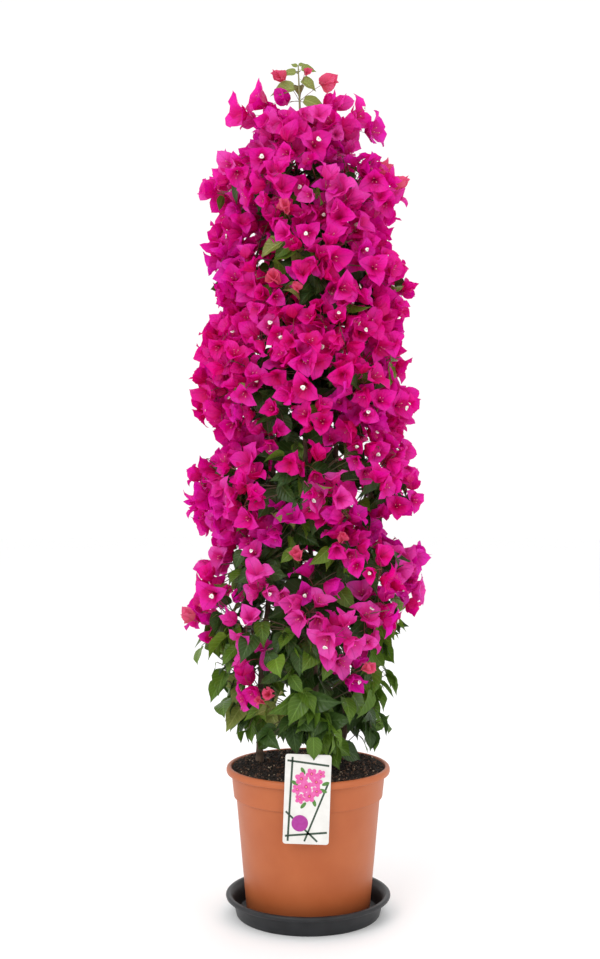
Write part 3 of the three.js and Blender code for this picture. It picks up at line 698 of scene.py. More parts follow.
boughs_shape = bmesh.new()
bough_radii = np.linspace(*BOUGH_RADIUS, BOUGH_RINGS + 1)
for mass in masses:
    if mass["bough"]:
        mass["bough_run"] = grow_bough(mass)
        limb(boughs_shape, mass["bough_run"], bough_radii, BOUGH_SIDES, bough_relief)
bmesh.ops.remove_doubles(boughs_shape, verts=boughs_shape.verts, dist=1e-6)
bmesh.ops.recalc_face_normals(boughs_shape, faces=boughs_shape.faces)
boughs_piece = piece_of(boughs_shape, "boughs_bark", bark)
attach(boughs_piece, "root")
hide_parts(*[mass["bough"] for mass in masses if mass["bough"]])

# Sprays
# Twigs arch from the boughs to the crown's outside and end in sprays. Leaves hang from them by stalks of
# their own, and blooms stand past their tips in twos, threes and fours.
BLOOM_GAP = 20.0
BLOOM_REACH = 23.0
BLOOM_RIM = 12.0
BLOOM_OVER = 3.0
BLOOM_FOOT = 8.0
BLOOM_SIZES = (0.66, 1.02)
BLOOM_ASIDE = (12, 22)
BLOOM_AHEAD = (-9, 6)
SPRAY_LENGTH = 11.0
SPRAY_RISE = 0.35
SPRAY_JITTER = 40
FACING_SHARE = 0.8
TWO_BLOOMS = 0.15
FOUR_BLOOMS = 0.85
# At each height, the shares of magenta, pink, purple and crimson blooms.
BLOOM_MIX_HEIGHTS = [440, 600, 780, 1000, 1130]
BLOOM_MIX = np.array([
    (0.10, 0.50, 0.36, 0.04),
    (0.52, 0.10, 0.16, 0.22),
    (0.46, 0.02, 0.02, 0.50),
    (0.56, 0.08, 0.10, 0.26),
    (0.34, 0.50, 0.14, 0.02),
])
CROWN_TOP = 1164.0
NOTCH_SPAN = 48.0
# A notch in the outline has its angle, height, half height and depth, and is a swelling if that is negative.
NOTCHES = [
    (0, 1200, 24, 30), (0, 1112, 24, 42), (180, 1140, 28, 48), (180, 1111, 9, -16), (180, 1025, 12, 24),
    (180, 988, 16, -10), (0, 975, 27, 40), (180, 894, 12, 24), (180, 760, 70, 10), (0, 798, 26, 12),
    (0, 745, 14, -8), (180, 688, 17, 32), (0, 668, 24, -14), (0, 694, 12, -14), (180, 578, 16, -12),
    (0, 566, 18, 52), (0, 612, 13, -12), (0, 448, 12, 14), (0, 492, 12, -8), (0, 528, 18, 8),
    (180, 540, 15, 32), (180, 486, 14, -12), (0, 486, 18, -10), (0, 466, 12, -8), (0, 402, 20, 46),
    (180, 402, 18, 14), (180, 362, 14, -16), (0, 354, 12, -16), (0, 282, 14, 8), (180, 290, 26, 6),
    (90, 930, 20, 24), (90, 640, 24, 26), (70, 480, 22, 26),
]
SIDE_TWIG = (1.0, 0.6)
FINE_TWIG = (0.55, 0.42)
TWIG_CLEAR = 7.0
# The dark kind's colour is partly painted shade for the inside of the crown.
LEAF_DARK = 0
LEAF_MID = 1
LEAF_OLIVE = 3
LEAF_KIND_STEPS = [0.42, 0.7, 0.9, 1.0]
STALK_SHARE = 0.2
LEAF_TIP = 1 + STALK_SHARE
LEAF_OUT = 0.5
LEAF_ASIDE = 0.9
LEAF_TURN = 137.5
LEAF_SHORTENED = 0.92
LEAF_OVER = 4
LEAF_UNDER = 3
LOWEST_LEAF = POT_TOP + 12
LABEL_SIDE = CARD_WIDTH / 2 + 10
LABEL_FRONT = CARD_BACK + 22
LABEL_TOP = CARD_TOP - 8
YOUNG_ABOVE = 1135.0
YOUNG_LEAF = 26.0
twig_runs = []
stalk_runs = []
leaf_places = []
bloom_places = []


def outline_at(z, angle):
    """The crown's outline: its reach, less the notches between sprays, which swell it where negative."""
    depth = 0.0
    for notch_angle, notch_z, notch_half, notch_depth in NOTCHES:
        turn = (angle - notch_angle + 180) % 360 - 180
        depth += notch_depth * math.exp(-(turn / NOTCH_SPAN) ** 2 - ((z - notch_z) / notch_half) ** 2)
    return reach_at(z, angle) - depth


def add_twig(start, end, radii, arch, rings=4, sides=4, runs=None):
    """Adds a twig from start to end, its middle lifted by an arch, that keeps inside the crown's outline, and
    gives its points."""
    middle = mix(start, end, 0.5) + arch
    run = np.array([bezier(start, middle, end, t) for t in np.linspace(0, 1, rings + 1)])
    for point in run:
        over = max(0.0, beyond(point) + TWIG_CLEAR)
        point[:2] -= over * unit(point[:2])
    (twig_runs if runs is None else runs).append((run, np.linspace(*radii, rings + 1), sides))
    return run


def beyond(point):
    """How far a point lies outside the crown's reach."""
    return math.hypot(point[0], point[1]) - outline_at(point[2], math.degrees(math.atan2(point[1], point[0])))


def add_leaf(root, way, face, length, kind):
    """A leaf that grows from a root in a way, with its upper side to a face. It is turned and shorter where
    it would leave the crown's outline or touch the pot, and left out if that isn't enough or it would hide
    the label."""
    if root[2] > YOUNG_ABOVE:
        kind = LEAF_OLIVE
        length = min(length, YOUNG_LEAF)
    way = unit(way)
    for attempt in range(4):
        tip = root + LEAF_TIP * length * way
        over = beyond(tip)
        if over > 0:
            way = unit(way - 0.5 * over / length * unit(np.array([tip[0], tip[1], 0.0])))
            length *= LEAF_SHORTENED
        if tip[2] < LOWEST_LEAF:
            way = unit(way + (LOWEST_LEAF - tip[2]) / length * UP)
    tip = root + LEAF_TIP * length * way
    if beyond(tip) > LEAF_OVER or tip[2] < LOWEST_LEAF - LEAF_UNDER:
        return
    if abs(tip[0]) < LABEL_SIDE and tip[1] < LABEL_FRONT and tip[2] < LABEL_TOP:
        return
    place_leaf(root, way, face, length, kind)


def place_leaf(root, way, face, length, kind):
    """Adds a leaf as it is: its root, its three axes, its length and its kind."""
    way = unit(way)
    side = unit(np.cross(way, face))
    leaf_places.append((root, side, way, np.cross(side, way), length, kind))


def spray_noise(random, amount):
    """A small random step in any direction."""
    return amount * (np.array([random(), random(), random()]) - 0.5)


def leafy_spray(random, run, outward, hang, count, sizes, kind):
    """Leaves along a twig from its tip back, which spread to the sides and hang."""
    start = random() * 360
    for i in range(count):
        outer, inner = run[max(0, len(run) - 1 - i)], run[max(0, len(run) - 2 - i)]
        seat = run[-1] if i == 0 else mix(outer, inner, random())
        turn = math.radians(start + LEAF_TURN * i)
        across = unit(np.cross(UP, outward))
        spread = math.cos(turn) * across + 0.5 * math.sin(turn) * UP
        way = LEAF_OUT * outward + LEAF_ASIDE * spread - hang * UP + spray_noise(random, 0.8)
        face = 0.6 * outward + 0.6 * UP + spray_noise(random, 1.5)
        add_leaf(seat, way, face, mix(*sizes, random()), kind)


def leaf_kind(random):
    """One of the kinds of leaves, the dark one most often."""
    return int(np.searchsorted(LEAF_KIND_STEPS, random()))


def bloom_spray(random, run, outward):
    """Two to four blooms past a twig's end, each on its own stalk, in the colours of that height."""
    way = unit(outward + SPRAY_RISE * UP + spray_noise(random, 0.6))
    level = unit(np.cross(way, UP))
    other = np.cross(level, way)
    draw = random()
    count = 2 if draw < TWO_BLOOMS else 3 if draw < FOUR_BLOOMS else 4
    shares = [np.interp(run[-1][2], BLOOM_MIX_HEIGHTS, column) for column in BLOOM_MIX.T]
    kind = min(3, int(np.searchsorted(np.cumsum(shares), random())))
    start = random() * 360
    middle = run[-1] + SPRAY_LENGTH * way
    for i in range(count):
        turn = math.radians(start + 360 * i / count + SPRAY_JITTER * (random() - 0.5))
        spread = math.cos(turn) * level + math.sin(turn) * other
        aside = mix(*BLOOM_ASIDE, random())
        place = middle + aside * spread + mix(*BLOOM_AHEAD, random()) * way
        facing = unit(FACING_SHARE * way + FACING_SHARE * spread + spray_noise(random, 1.5))
        add_bloom(run[-1], place, facing, random() * 360, mix(*BLOOM_SIZES, random()), kind, random())


def add_bloom(foot, place, facing, spin, scale, kind, draw):
    """A bloom on its fine twig, moved in until it keeps to the crown's reach, and left out where it would
    crowd another."""
    around = bloom_turn(facing, spin, scale)
    rim = [
        around @ np.array([math.cos(turn) * BLOOM_REACH, math.sin(turn) * BLOOM_REACH, BLOOM_RIM])
        for turn in range(6)
    ]
    for attempt in range(3):
        for offset in rim:
            point = place + offset
            over = beyond(point) - BLOOM_OVER
            if over > 0:
                place = place - over * unit(np.array([point[0], point[1], 0.0]))
            place[2] -= max(0.0, point[2] - CROWN_TOP)
    if bloom_places:
        gaps = np.linalg.norm(np.array([other[0] for other in bloom_places]) - place, axis=1)
        if np.min(gaps) < BLOOM_GAP * scale:
            return
    bloom_places.append((place, facing, spin, scale, kind, draw))
    add_stalk(foot, place, facing, scale)


def bloom_turn(facing, spin, scale):
    """The matrix that turns a bloom from +Z to its facing."""
    level = unit(np.cross(facing, [0.31, 0.22, 0.92] if abs(facing[2]) < 0.85 else [1.0, 0.0, 0.0]))
    other = np.cross(facing, level)
    turn = math.radians(spin)
    first = math.cos(turn) * level + math.sin(turn) * other
    second = np.cross(facing, first)
    return scale * np.stack([first, second, facing], 1)


def bloom_foot(place, facing, scale):
    """Where a bloom's stalk meets it, behind its middle."""
    return place - BLOOM_FOOT * scale * facing


def add_stalk(foot, place, facing, scale, arch=2.0, rings=2):
    """The fine twig from a foot to the back of a bloom."""
    end = bloom_foot(place, facing, scale)
    add_twig(foot, end, FINE_TWIG, arch * UP, rings=rings, sides=3, runs=stalk_runs)


# Top shoot
# The front stem's head runs on as one thin green shoot above the crown. It has small blooms round its foot
# and pairs of small young leaves above them.
SHOOT_TOP = 1240.0
SHOOT_LEAN = -3.0
SHOOT_TWIG = (1.9, 0.9)
YOUNG = 4
# A bloom has its angle and distance from the shoot, height, size and kind, and a leaf its angle, height, rise
# and length.
SHOOT_BLOOMS = [
    (180, 26, 1222, 0.74, YOUNG), (2, 36, 1214, 1.0, YOUNG), (-30, 9, 1228, 0.4, YOUNG),
    (-8, 56, 1180, 0.9, 1), (184, 84, 1168, 1.12, 0), (-76, 80, 1108, 1.0, 0), (8, 40, 1184, 0.96, 0),
    (-10, 82, 1162, 1.14, 0), (192, 22, 1188, 0.86, 2), (182, 54, 1187, 1.16, 0), (-96, 76, 1132, 1.0, 0),
    (-135, 54, 1150, 0.96, 2), (-6, 102, 1142, 1.16, 2), (60, 52, 1160, 0.92, 0), (-45, 50, 1150, 0.92, 0),
    (100, 40, 1166, 0.9, 1), (140, 58, 1164, 0.92, 0), (180, 70, 1160, 0.9, 1), (172, 40, 1172, 0.9, 0),
]
FRONT_ANGLES = (-130, -70)
BACK_HALF = 60
SIDE_FORWARD = 0.7
SHOOT_LEAVES = [
    (184, 1208, -0.12, 36), (-6, 1192, -0.3, 34), (-4, 1221, -0.6, 26), (180, 1230, 0.05, 21),
    (-2, 1234, 0.0, 22), (170, 1237, 0.7, 11), (20, 1238, 0.8, 11), (90, 1212, -0.1, 24), (96, 1232, 0.2, 15),
]
STAR_SHARE = 0.16
SHOOT_SPREADS_ABOVE = 1180.0

shoot_random = stream(77)
shoot_foot = stem_point(STEMS[2], STEMS[2]["head_z"] - 2)
shoot_tip = np.array([shoot_foot[0] + SHOOT_LEAN, shoot_foot[1], SHOOT_TOP])
shoot_runs = []
shoot_run = add_twig(shoot_foot, shoot_tip, SHOOT_TWIG, np.zeros(3), rings=6, sides=6, runs=shoot_runs)
for angle, out, z, scale, kind in SHOOT_BLOOMS:
    place = polar(angle, out, z) + np.array([shoot_foot[0], shoot_foot[1], 0.0])
    in_front = FRONT_ANGLES[0] < angle < FRONT_ANGLES[1]
    way = polar(angle, 1, 0.1 if in_front else 0.4)
    if not in_front and abs(angle - 90) > BACK_HALF:
        way[1] -= SIDE_FORWARD
    facing = unit(way + spray_noise(shoot_random, 0.3 if in_front else 0.8))
    draw = shoot_random() * (STAR_SHARE if in_front else 1.0)
    bloom_places.append((place, facing, shoot_random() * 360, scale, kind, draw))
    knot = shoot_run[2] if z > SHOOT_SPREADS_ABOVE else shoot_foot
    add_stalk(knot, place, facing, scale, arch=3.0, rings=3)
for turn, z, rise, length in SHOOT_LEAVES:
    seat = mix(shoot_foot, shoot_tip, (z - shoot_foot[2]) / (SHOOT_TOP - shoot_foot[2]))
    place_leaf(seat, polar(turn, 1, rise), 0.5 * UP + polar(-90, 1.0, 0), length, LEAF_OLIVE)

# Outer sprays
# Young coral buds and a few longer sprays stand out from the crown here and there, each on a twig of its own
# from the nearest stem. One leaf hangs in front of the label.
# A bud has its angle, distance from the plant's middle, height and size. A spray has its angle, height and
# distance, and whether it blooms.
BUDS = [
    (-12, 107, 1082, 0.8), (-14, 129, 1062, 0.84), (-28, 112, 1072, 0.5), (-104, 132, 1012, 0.7),
    (-110, 140, 915, 0.8), (-96, 148, 900, 0.56), (-160, 150, 462, 0.76), (-166, 174, 440, 0.7),
    (-112, 146, 346, 0.7), (-118, 142, 333, 0.56), (-72, 150, 560, 0.6), (-96, 140, 536, 0.7),
    (-58, 150, 380, 0.66), (70, 132, 1040, 0.8), (118, 144, 930, 0.8), (95, 158, 600, 0.8),
    (150, 168, 455, 0.8),
]
BUD_TWIG = (30, 14)
BUD_ARCH = 10.0
OUTER_SPRAYS = [
    (4, 692, 160, True), (-4, 486, 172, True), (8, 468, 168, True), (-8, 366, 150, False),
    (6, 350, 142, False), (184, 446, 184, True), (176, 400, 170, True), (-172, 318, 146, False),
    (-4, 284, 130, False), (178, 345, 148, False), (186, 372, 158, False), (-125, 389, 150, True),
    (-135, 348, 146, True), (-74, 402, 152, True), (-62, 368, 150, True), (-52, 430, 156, True),
    (60, 400, 150, True), (115, 380, 150, True),
]
OUTER_DROP = 60.0
OUTER_ARCH = 14.0
OUTER_LEAF_SIZES = (30, 46)
OUTER_HANG = 0.45
BLOSSOM_INSIDE = 30
LEAVES_INSIDE = 24
LABEL_LEAF = np.array([(6.0, -127.0, 292.0), (0.05, -0.06, -1.0), (0.1, -1.0, 0.1)])
LABEL_LEAF_LENGTH = 34.0

bud_random = stream(41)
for angle, out, z, scale in BUDS:
    place = polar(angle, out, z)
    facing = unit(polar(angle, 1, 0.5) + spray_noise(bud_random, 0.8))
    bloom_places.append((place, facing, bud_random() * 360, scale, YOUNG, bud_random()))
    inside = place - polar(angle, *BUD_TWIG)
    foot = add_twig(on_stem(z - OUTER_DROP, inside), inside, SIDE_TWIG, BUD_ARCH * UP, rings=6)[-1]
    add_stalk(foot, place, facing, scale)
    add_leaf(foot, facing + spray_noise(bud_random, 1.6), UP + polar(angle, 0.8, 0), YOUNG_LEAF, LEAF_OLIVE)

outer_random = stream(907)
for angle, z, out, blossom in OUTER_SPRAYS:
    outward = polar(angle, 1, 0)
    end = polar(angle, out - (BLOSSOM_INSIDE if blossom else LEAVES_INSIDE), z)
    run = add_twig(on_stem(z - OUTER_DROP, end), end, SIDE_TWIG, OUTER_ARCH * UP, rings=6)
    if blossom:
        bloom_spray(outer_random, run, outward)
        leafy_spray(outer_random, run[:-1], outward, OUTER_HANG, 1, OUTER_LEAF_SIZES, LEAF_MID)
    else:
        leafy_spray(outer_random, run, outward, OUTER_HANG, 4, OUTER_LEAF_SIZES, LEAF_MID)

place_leaf(*LABEL_LEAF, LABEL_LEAF_LENGTH, LEAF_MID)

# Crown
# From each bough's end a main twig runs to the heart of its mass, and side twigs run from it to the crown's
# outside, seated by the same even sequence as the sprays of the solids and carried on to finer twigs. They
# end in blooms above and in leaves below.
GOLDEN = 0.618034
PLASTIC = 0.754878
BLOOM_AREA = 820.0
LEAVES_AREA = 2700.0
HEART_SHARE = 0.56
MAIN_TWIG = (1.9, 1.1)
MAIN_ARCH = -4.0
TWIG_ARCH = (2, 12)
TWIG_TOP = 1148.0
BLOSSOM_HEIGHTS = [310, 345, 400, 450, 505, 570, 640, 720, 1300]
BLOSSOM_SHARES = [0.0, 0.03, 0.18, 0.42, 0.66, 0.74, 0.88, 0.97, 0.97]
SHOOT_INSET = (10.0, 50.0)
LEAFY_INSET = (16.0, 54.0)
DEEP_INSET = (42.0, 64.0)
DEEP_SHARE = 0.2
SLIM_FROM = 1145.0
SLIM_TO = 1195.0
SLIM = 0.56
SLIM_SHARE = 0.85
LOWEST_BLOSSOM = LOWEST_LEAF + 4
LOWEST_SPRAY = LOWEST_LEAF + 26
HOLLOW_DEPTH = 34.0
HOLLOW_SIZE = 58.0
# In these places, each an angle, a height and a radius, leaves show instead of blooms.
LEAFY_OPENINGS = [
    (-92, 1098, 13), (-100, 1014, 15), (-103, 968, 18), (-106, 908, 20), (-80, 914, 15), (-66, 990, 11),
    (-62, 798, 12), (-106, 694, 34), (-92, 692, 15), (-72, 662, 22), (-112, 630, 13), (-95, 572, 33),
    (-52, 556, 25), (-128, 520, 13), (-64, 510, 15), (-110, 476, 17), (-146, 792, 10), (-116, 664, 28),
    (-82, 735, 13), (-50, 590, 15), (-104, 425, 15), (-68, 455, 12), (-88, 1078, 12), (-120, 760, 10),
    (70, 900, 24), (150, 700, 26), (40, 600, 24), (10, 1000, 14), (110, 1060, 14), (190, 820, 18),
    (95, 760, 16), (60, 1010, 14), (130, 560, 20),
]
SEAT_RINGS = (3, 6)
INNER_RINGS = (1, 3)
HIGH_LEAVES = 980.0
LOW_LEAVES = 480
BLOSSOM_HANG = 0.3
LOW_HANG = 0.85
LEAFY_HANG = 0.5
MORE_LEAVES_BELOW = 560
LEAF_SHARES = (0.8, 0.4)
FEW_INNER_BELOW = 380
INNER_SHARES = (0.4, 0.7)
HIGH_SIZES = (18, 28)
BLOSSOM_SIZES = (24, 38)
LOW_SIZES = (28, 46)
LEAFY_SIZES = (22, 38)
HIGH_INNER_SIZES = (24, 36)
INNER_SIZES = (34, 50)


def near(places, z, angle):
    """Whether a seat lies in one of the places."""
    for place_angle, place_z, radius in places:
        turn = (angle - place_angle + 180) % 360 - 180
        if math.hypot(math.radians(turn) * reach_at(z, angle), z - place_z) < radius:
            return True
    return False


def hollow(z, angle):
    """How much further in a shoot ends in the soft hollows of the crown's outside."""
    return HOLLOW_DEPTH * max(0.0, noise.noise(Vector(polar(angle, reach_at(z, angle), z)) / HOLLOW_SIZE))


def grow_mass(mass):
    """A mass's twigs, leaves and blooms."""
    random = mass["random"]
    tier = mass["tier"]
    if mass["bough"]:
        root = mass["bough_run"][-1]
    else:
        root = on_stem(mass["centre"][2] - BOUGH_RISE, mass["centre"])
    heart = polar(mass["angle"], HEART_SHARE * mass["reach"], tier["z"])
    main = add_twig(root, heart, MAIN_TWIG, MAIN_ARCH * UP, rings=6, sides=6)
    share = np.interp(tier["z"], BLOSSOM_HEIGHTS, BLOSSOM_SHARES)
    area = 2 * tier["half"] * 2 * math.pi * mass["reach"] / tier["count"]
    start = (random(), random())
    for i in range(round(area / mix(LEAVES_AREA, BLOOM_AREA, share))):
        across = (start[0] + GOLDEN * i) % 1
        up = (start[1] + PLASTIC * i) % 1
        z = tier["z"] + (2 * up - 1) * tier["half"]
        angle = mass["angle"] + (across - 0.5) * 360 / tier["count"]
        outward = polar(angle, 1, 0)
        opening = near(LEAFY_OPENINGS, z, angle)
        blossom = random() < np.interp(z, BLOSSOM_HEIGHTS, BLOSSOM_SHARES) and not opening
        deep = random() < DEEP_SHARE or opening
        insets = DEEP_INSET if deep else SHOOT_INSET if blossom else LEAFY_INSET
        inset = mix(*insets, random() ** 0.8)
        top = min(1.0, max(0.0, (z - SLIM_FROM) / (SLIM_TO - SLIM_FROM)))
        slimmed = 1 - (1 - SLIM) * top * (random() < SLIM_SHARE)
        out = slimmed * outline_at(z, angle) - inset - hollow(z, angle)
        end = polar(angle, out, min(TWIG_TOP, max(z, LOWEST_BLOSSOM if blossom else LOWEST_SPRAY)))
        seat = main[round(mix(*SEAT_RINGS, random()))]
        run = add_twig(seat, end, SIDE_TWIG, mix(*TWIG_ARCH, random()) * UP, rings=5)
        if blossom:
            blooms_before = len(bloom_places)
            bloom_spray(random, run, outward)
            if len(bloom_places) == blooms_before:
                twig_runs.pop()
                continue
            if random() < LEAF_SHARES[0 if z < MORE_LEAVES_BELOW else 1]:
                sizes = HIGH_SIZES if z > HIGH_LEAVES else BLOSSOM_SIZES
                leafy_spray(random, run[:-1], outward, BLOSSOM_HANG, 1, sizes, leaf_kind(random))
        elif z < LOW_LEAVES:
            leafy_spray(random, run, outward, LOW_HANG, 5, LOW_SIZES, leaf_kind(random))
        else:
            leafy_spray(random, run, outward, LEAFY_HANG, 4, LEAFY_SIZES, leaf_kind(random))
        if random() < INNER_SHARES[0 if z < FEW_INNER_BELOW else 1]:
            inner = run[round(mix(*INNER_RINGS, random()))]
            face = outward + spray_noise(random, 0.8)
            sizes = HIGH_INNER_SIZES if z > HIGH_LEAVES else INNER_SIZES
            way = 0.2 * outward + spray_noise(random, 1.6) - 0.7 * UP
            add_leaf(inner, way, face, mix(*sizes, random()), LEAF_DARK)


for mass in masses:
    grow_mass(mass)

# Inner leaves
# Old leaves stay on the stems inside the crown, and keep it dark between the sprays; they are of the dark
# kind, whose colour is darkened beyond the leaves' own as painted shade for the crown's inside. Each sits on
# its stem by a stalk of its own, a golden turn from the one below.
INNER_LEAF_STEP = 5.6
INNER_LEAVES_FROM = 345.0
INNER_LEAVES_BELOW = YOUNG_ABOVE - 25
INNER_LEAF_SIZES = (40.0, 58.0)

inner_random = stream(311)
for stem in STEMS:
    inner_span = min(stem["head_z"], INNER_LEAVES_BELOW) - INNER_LEAVES_FROM
    for i in range(int(inner_span / INNER_LEAF_STEP)):
        inner_seat = stem_point(stem, INNER_LEAVES_FROM + i * INNER_LEAF_STEP)
        inner_way = polar(LEAF_TURN * i + 60 * inner_random(), 1, mix(-0.6, 0.3, inner_random()))
        inner_face = unit(np.array([inner_seat[0], inner_seat[1], 25.0])) + spray_noise(inner_random, 1.2)
        add_leaf(inner_seat, inner_way, inner_face, mix(*INNER_LEAF_SIZES, inner_random()), LEAF_DARK)

# Twigs and stalks
# The twigs are green wood turning brown, the blooms' stalks are red, and the shoot at the top is a pale
# olive. All are round and taper, and each run of points found above becomes one tube.
TWIG_COLOURS = ((0.085, 0.100, 0.035), (0.100, 0.055, 0.032))
STALK_COLOURS = ((0.300, 0.040, 0.070), (0.180, 0.070, 0.035))
SHOOT_COLOURS = ((0.190, 0.205, 0.075), (0.240, 0.200, 0.095))


def tube_net(rings, sides):
    """The triangles of a tube of rings, closed by a point at each end, and its corners' UV."""
    triangles = []
    for ring in range(rings):
        for i in range(sides):
            a, b = ring * sides + i, ring * sides + (i + 1) % sides
            triangles += [(a, b, b + sides), (a, b + sides, a + sides)]
    first, last = (rings + 1) * sides, (rings + 1) * sides + 1
    for i in range(sides):
        triangles += [(first, (i + 1) % sides, i), (last, rings * sides + i, rings * sides + (i + 1) % sides)]
    return np.array(triangles), np.zeros((len(triangles), 3, 2))


def tube_points(run, radii, sides):
    """The points of a tube along a run, with the two end points last."""
    along = unit(run[-1] - run[0])
    side = unit(np.cross(along, [0.3, 0.2, 0.93] if abs(along[2]) < 0.8 else [1.0, 0.1, 0.0]))
    front = np.cross(along, side)
    turns = 2 * math.pi * np.arange(sides) / sides
    ring = np.cos(turns)[:, None] * side + np.sin(turns)[:, None] * front
    body = run[:, None, :] + radii[:, None, None] * ring[None]
    return np.concatenate([body.reshape(-1, 3), run[:1], run[-1:]])


def tubes_heaps(runs):
    """Tubes of all sizes as heaps of one copy each."""
    heaps = []
    for run, radii, sides in runs:
        net = tube_net(len(run) - 1, sides)
        heaps.append((tube_points(run, radii, sides), *net, [np.eye(3)], [np.zeros(3)]))
    return heaps


twig_skin = mottled("twig_skin", TWIG_COLOURS, roughness=0.6, scale=26.0, detail=3.0)
grain(twig_skin, scale=900.0, depth=0.0002)
foliage_nodes = [mass["node"] for mass in masses] + ["foliage_tip_1"]
twigs_piece = joined("twigs", tubes_heaps(twig_runs), twig_skin)
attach(twigs_piece, "root")
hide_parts(*foliage_nodes)

stalk_skin = mottled("stalk_skin", STALK_COLOURS, roughness=0.5, scale=60.0, detail=3.0)
stalks_piece = joined("bloom_stalks", tubes_heaps(stalk_runs), stalk_skin)
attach(stalks_piece, "root")

shoot_skin = mottled("shoot_skin", SHOOT_COLOURS, roughness=0.5, scale=40.0, detail=3.0)
shoot_piece = joined("shoot_stalk", tubes_heaps(shoot_runs), shoot_skin)
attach(shoot_piece, "root")

# Leaves
# Broad heart-shaped leaves with a long drip tip, folded a little along a pale midrib, waved at the edge and
# glossy. Old leaves are dark grey-green, darkened further as painted shade for the crown's inside, most are
# mid green, and young ones are a light olive.
LEAF_ROWS = [0.0, 0.04, 0.13, 0.27, 0.43, 0.59, 0.74, 0.87, 1.0]
LEAF_EDGE = [0.0, 0.5, 0.84, 1.0, 0.98, 0.82, 0.52, 0.19, 0.0]
LEAF_WIDTH = 0.66
LEAF_BEND = (0.1, 0.42)
LEAF_FOLD = (0.12, 0.6)
LEAF_WAVE = (0.015, 0.04)
LEAF_WAVES = (9, 14)
LEAF_LOBES = 0.06
LEAF_SKEW = 0.05
LEAF_VARIANTS = 7
# Side veins have their count, slope, width and strength.
LEAF_VEINS = (7.0, 0.3, 0.07, 0.6)
MIDRIB_WIDTH = 0.07
SIDE_VEIN_SHARE = 0.55
VEIN_PALER = 1.7
GLOW_BRIGHTER = 1.5
STALK_LENGTH = 0.21
STALK_RADIUS = 0.012
CLEAR_OF_BLOOM = 16.5
SHOOT_CLEAR = 1184.0
# Each kind has its piece's name and its two colours.
LEAF_KINDS = [
    # The dark kind's colours are darker than the old leaves' own grey-green: partly painted shade for the
    # crown's dark inside.
    ("leaves_dark", (0.022, 0.052, 0.008), (0.040, 0.080, 0.016)),
    ("leaves_mid", (0.062, 0.124, 0.010), (0.086, 0.160, 0.017)),
    ("leaves_fresh", (0.092, 0.170, 0.012), (0.126, 0.218, 0.022)),
    ("leaves_olive", (0.180, 0.225, 0.040), (0.225, 0.265, 0.070)),
]


def blade_grid(rows, columns):
    """A flat blade whose first and last rows are drawn to a point. Its x goes across from -1 to 1, and its y
    goes along from 0 to 1."""
    shape = bmesh.new()
    bmesh.ops.create_grid(shape, x_segments=columns, y_segments=len(rows) - 1, size=0.5, calc_uvs=False)
    layer = shape.loops.layers.uv.new("UVMap")
    for vert in shape.verts:
        row = round((vert.co.y + 0.5) * (len(rows) - 1))
        vert.co.x *= 2
        vert.co.y = rows[row]
    for face in shape.faces:
        for loop in face.loops:
            loop[layer].uv = (0.5 + 0.5 * loop.vert.co.x, loop.vert.co.y)
    for vert in shape.verts:
        if vert.co.y in (0.0, 1.0):
            vert.co.x = 0.0
    bmesh.ops.remove_doubles(shape, verts=shape.verts, dist=1e-5)
    bmesh.ops.recalc_face_normals(shape, faces=shape.faces)
    if shape.faces[:][0].normal.z < 0:
        bmesh.ops.reverse_faces(shape, faces=shape.faces)
    return arrays_of(shape)


def leaf_shape(flat, random):
    """The points of one leaf of unit length, from the flat blade."""
    across, along = flat[:, 0], flat[:, 1]
    edge = np.interp(along, LEAF_ROWS, LEAF_EDGE) * LEAF_WIDTH / 2
    bend = random.uniform(*LEAF_BEND)
    fold = random.uniform(*LEAF_FOLD)
    wave = random.uniform(*LEAF_WAVE)
    wave = wave * np.sin(along * random.uniform(*LEAF_WAVES) + random.uniform(0, 6) + 2 * across)
    lobes = LEAF_LOBES * np.abs(across) * (1 - along) ** 6
    lift = fold * np.abs(across) * edge - bend * along ** 2
    points = np.stack([across * edge, STALK_SHARE + along - lobes, lift], 1)
    points[:, 2] += wave * np.abs(across) * (edge > 0)
    points[:, 0] += random.uniform(-LEAF_SKEW, LEAF_SKEW) * along ** 2
    return points


def stalk(length, radius):
    """A leaf's own stalk: a thin three-sided tube along y."""
    run = np.array([[0, 0, 0], [0, length * 0.5, 0.02], [0, length, 0.0]])
    net, corners = tube_net(2, 3)
    return tube_points(run, np.array([radius, radius, radius * 0.8]), 3), net, corners + 0.5


def vein_pattern(tree, count, slope, width, strength):
    """A mask of side veins and midrib on a blade, from its UV map: their count, slope, width and strength.
    With it come a height that rises between the veins, and the way along the blade."""
    place = add_node(tree, "UVMap")
    place.uv_map = "UVMap"
    parts = add_node(tree, "SeparateXYZ", Vector=place.outputs["UV"])

    def calc(operation, *values):
        """One step of the pattern's sum, from numbers and from other nodes' outputs."""
        node = add_node(tree, "Math")
        node.operation = operation
        for i, value in enumerate(values):
            if isinstance(value, (int, float)):
                node.inputs[i].default_value = value
            else:
                tree.links.new(value, node.inputs[i])
        return node.outputs["Value"]

    away = calc("MULTIPLY", calc("ABSOLUTE", calc("SUBTRACT", parts.outputs["X"], 0.5)), 2.0)
    step = calc("MULTIPLY", calc("SUBTRACT", parts.outputs["Y"], calc("MULTIPLY", away, slope)), count)
    side = calc("PINGPONG", step, 0.5)
    side_vein = calc("LESS_THAN", side, width)
    midrib = calc("LESS_THAN", away, MIDRIB_WIDTH)
    swell = calc("ADD", side, calc("MULTIPLY", away, 0.5))
    veins = calc("MAXIMUM", calc("MULTIPLY", side_vein, SIDE_VEIN_SHARE), midrib)
    return calc("MULTIPLY", veins, strength), swell, parts.outputs["Y"]


def chosen_from(places, at, kind, variants, variant):
    """The places of one kind that take one variant, where all take the variants in turn."""
    return [place for i, place in enumerate(places) if place[at] == kind and i % variants == variant]


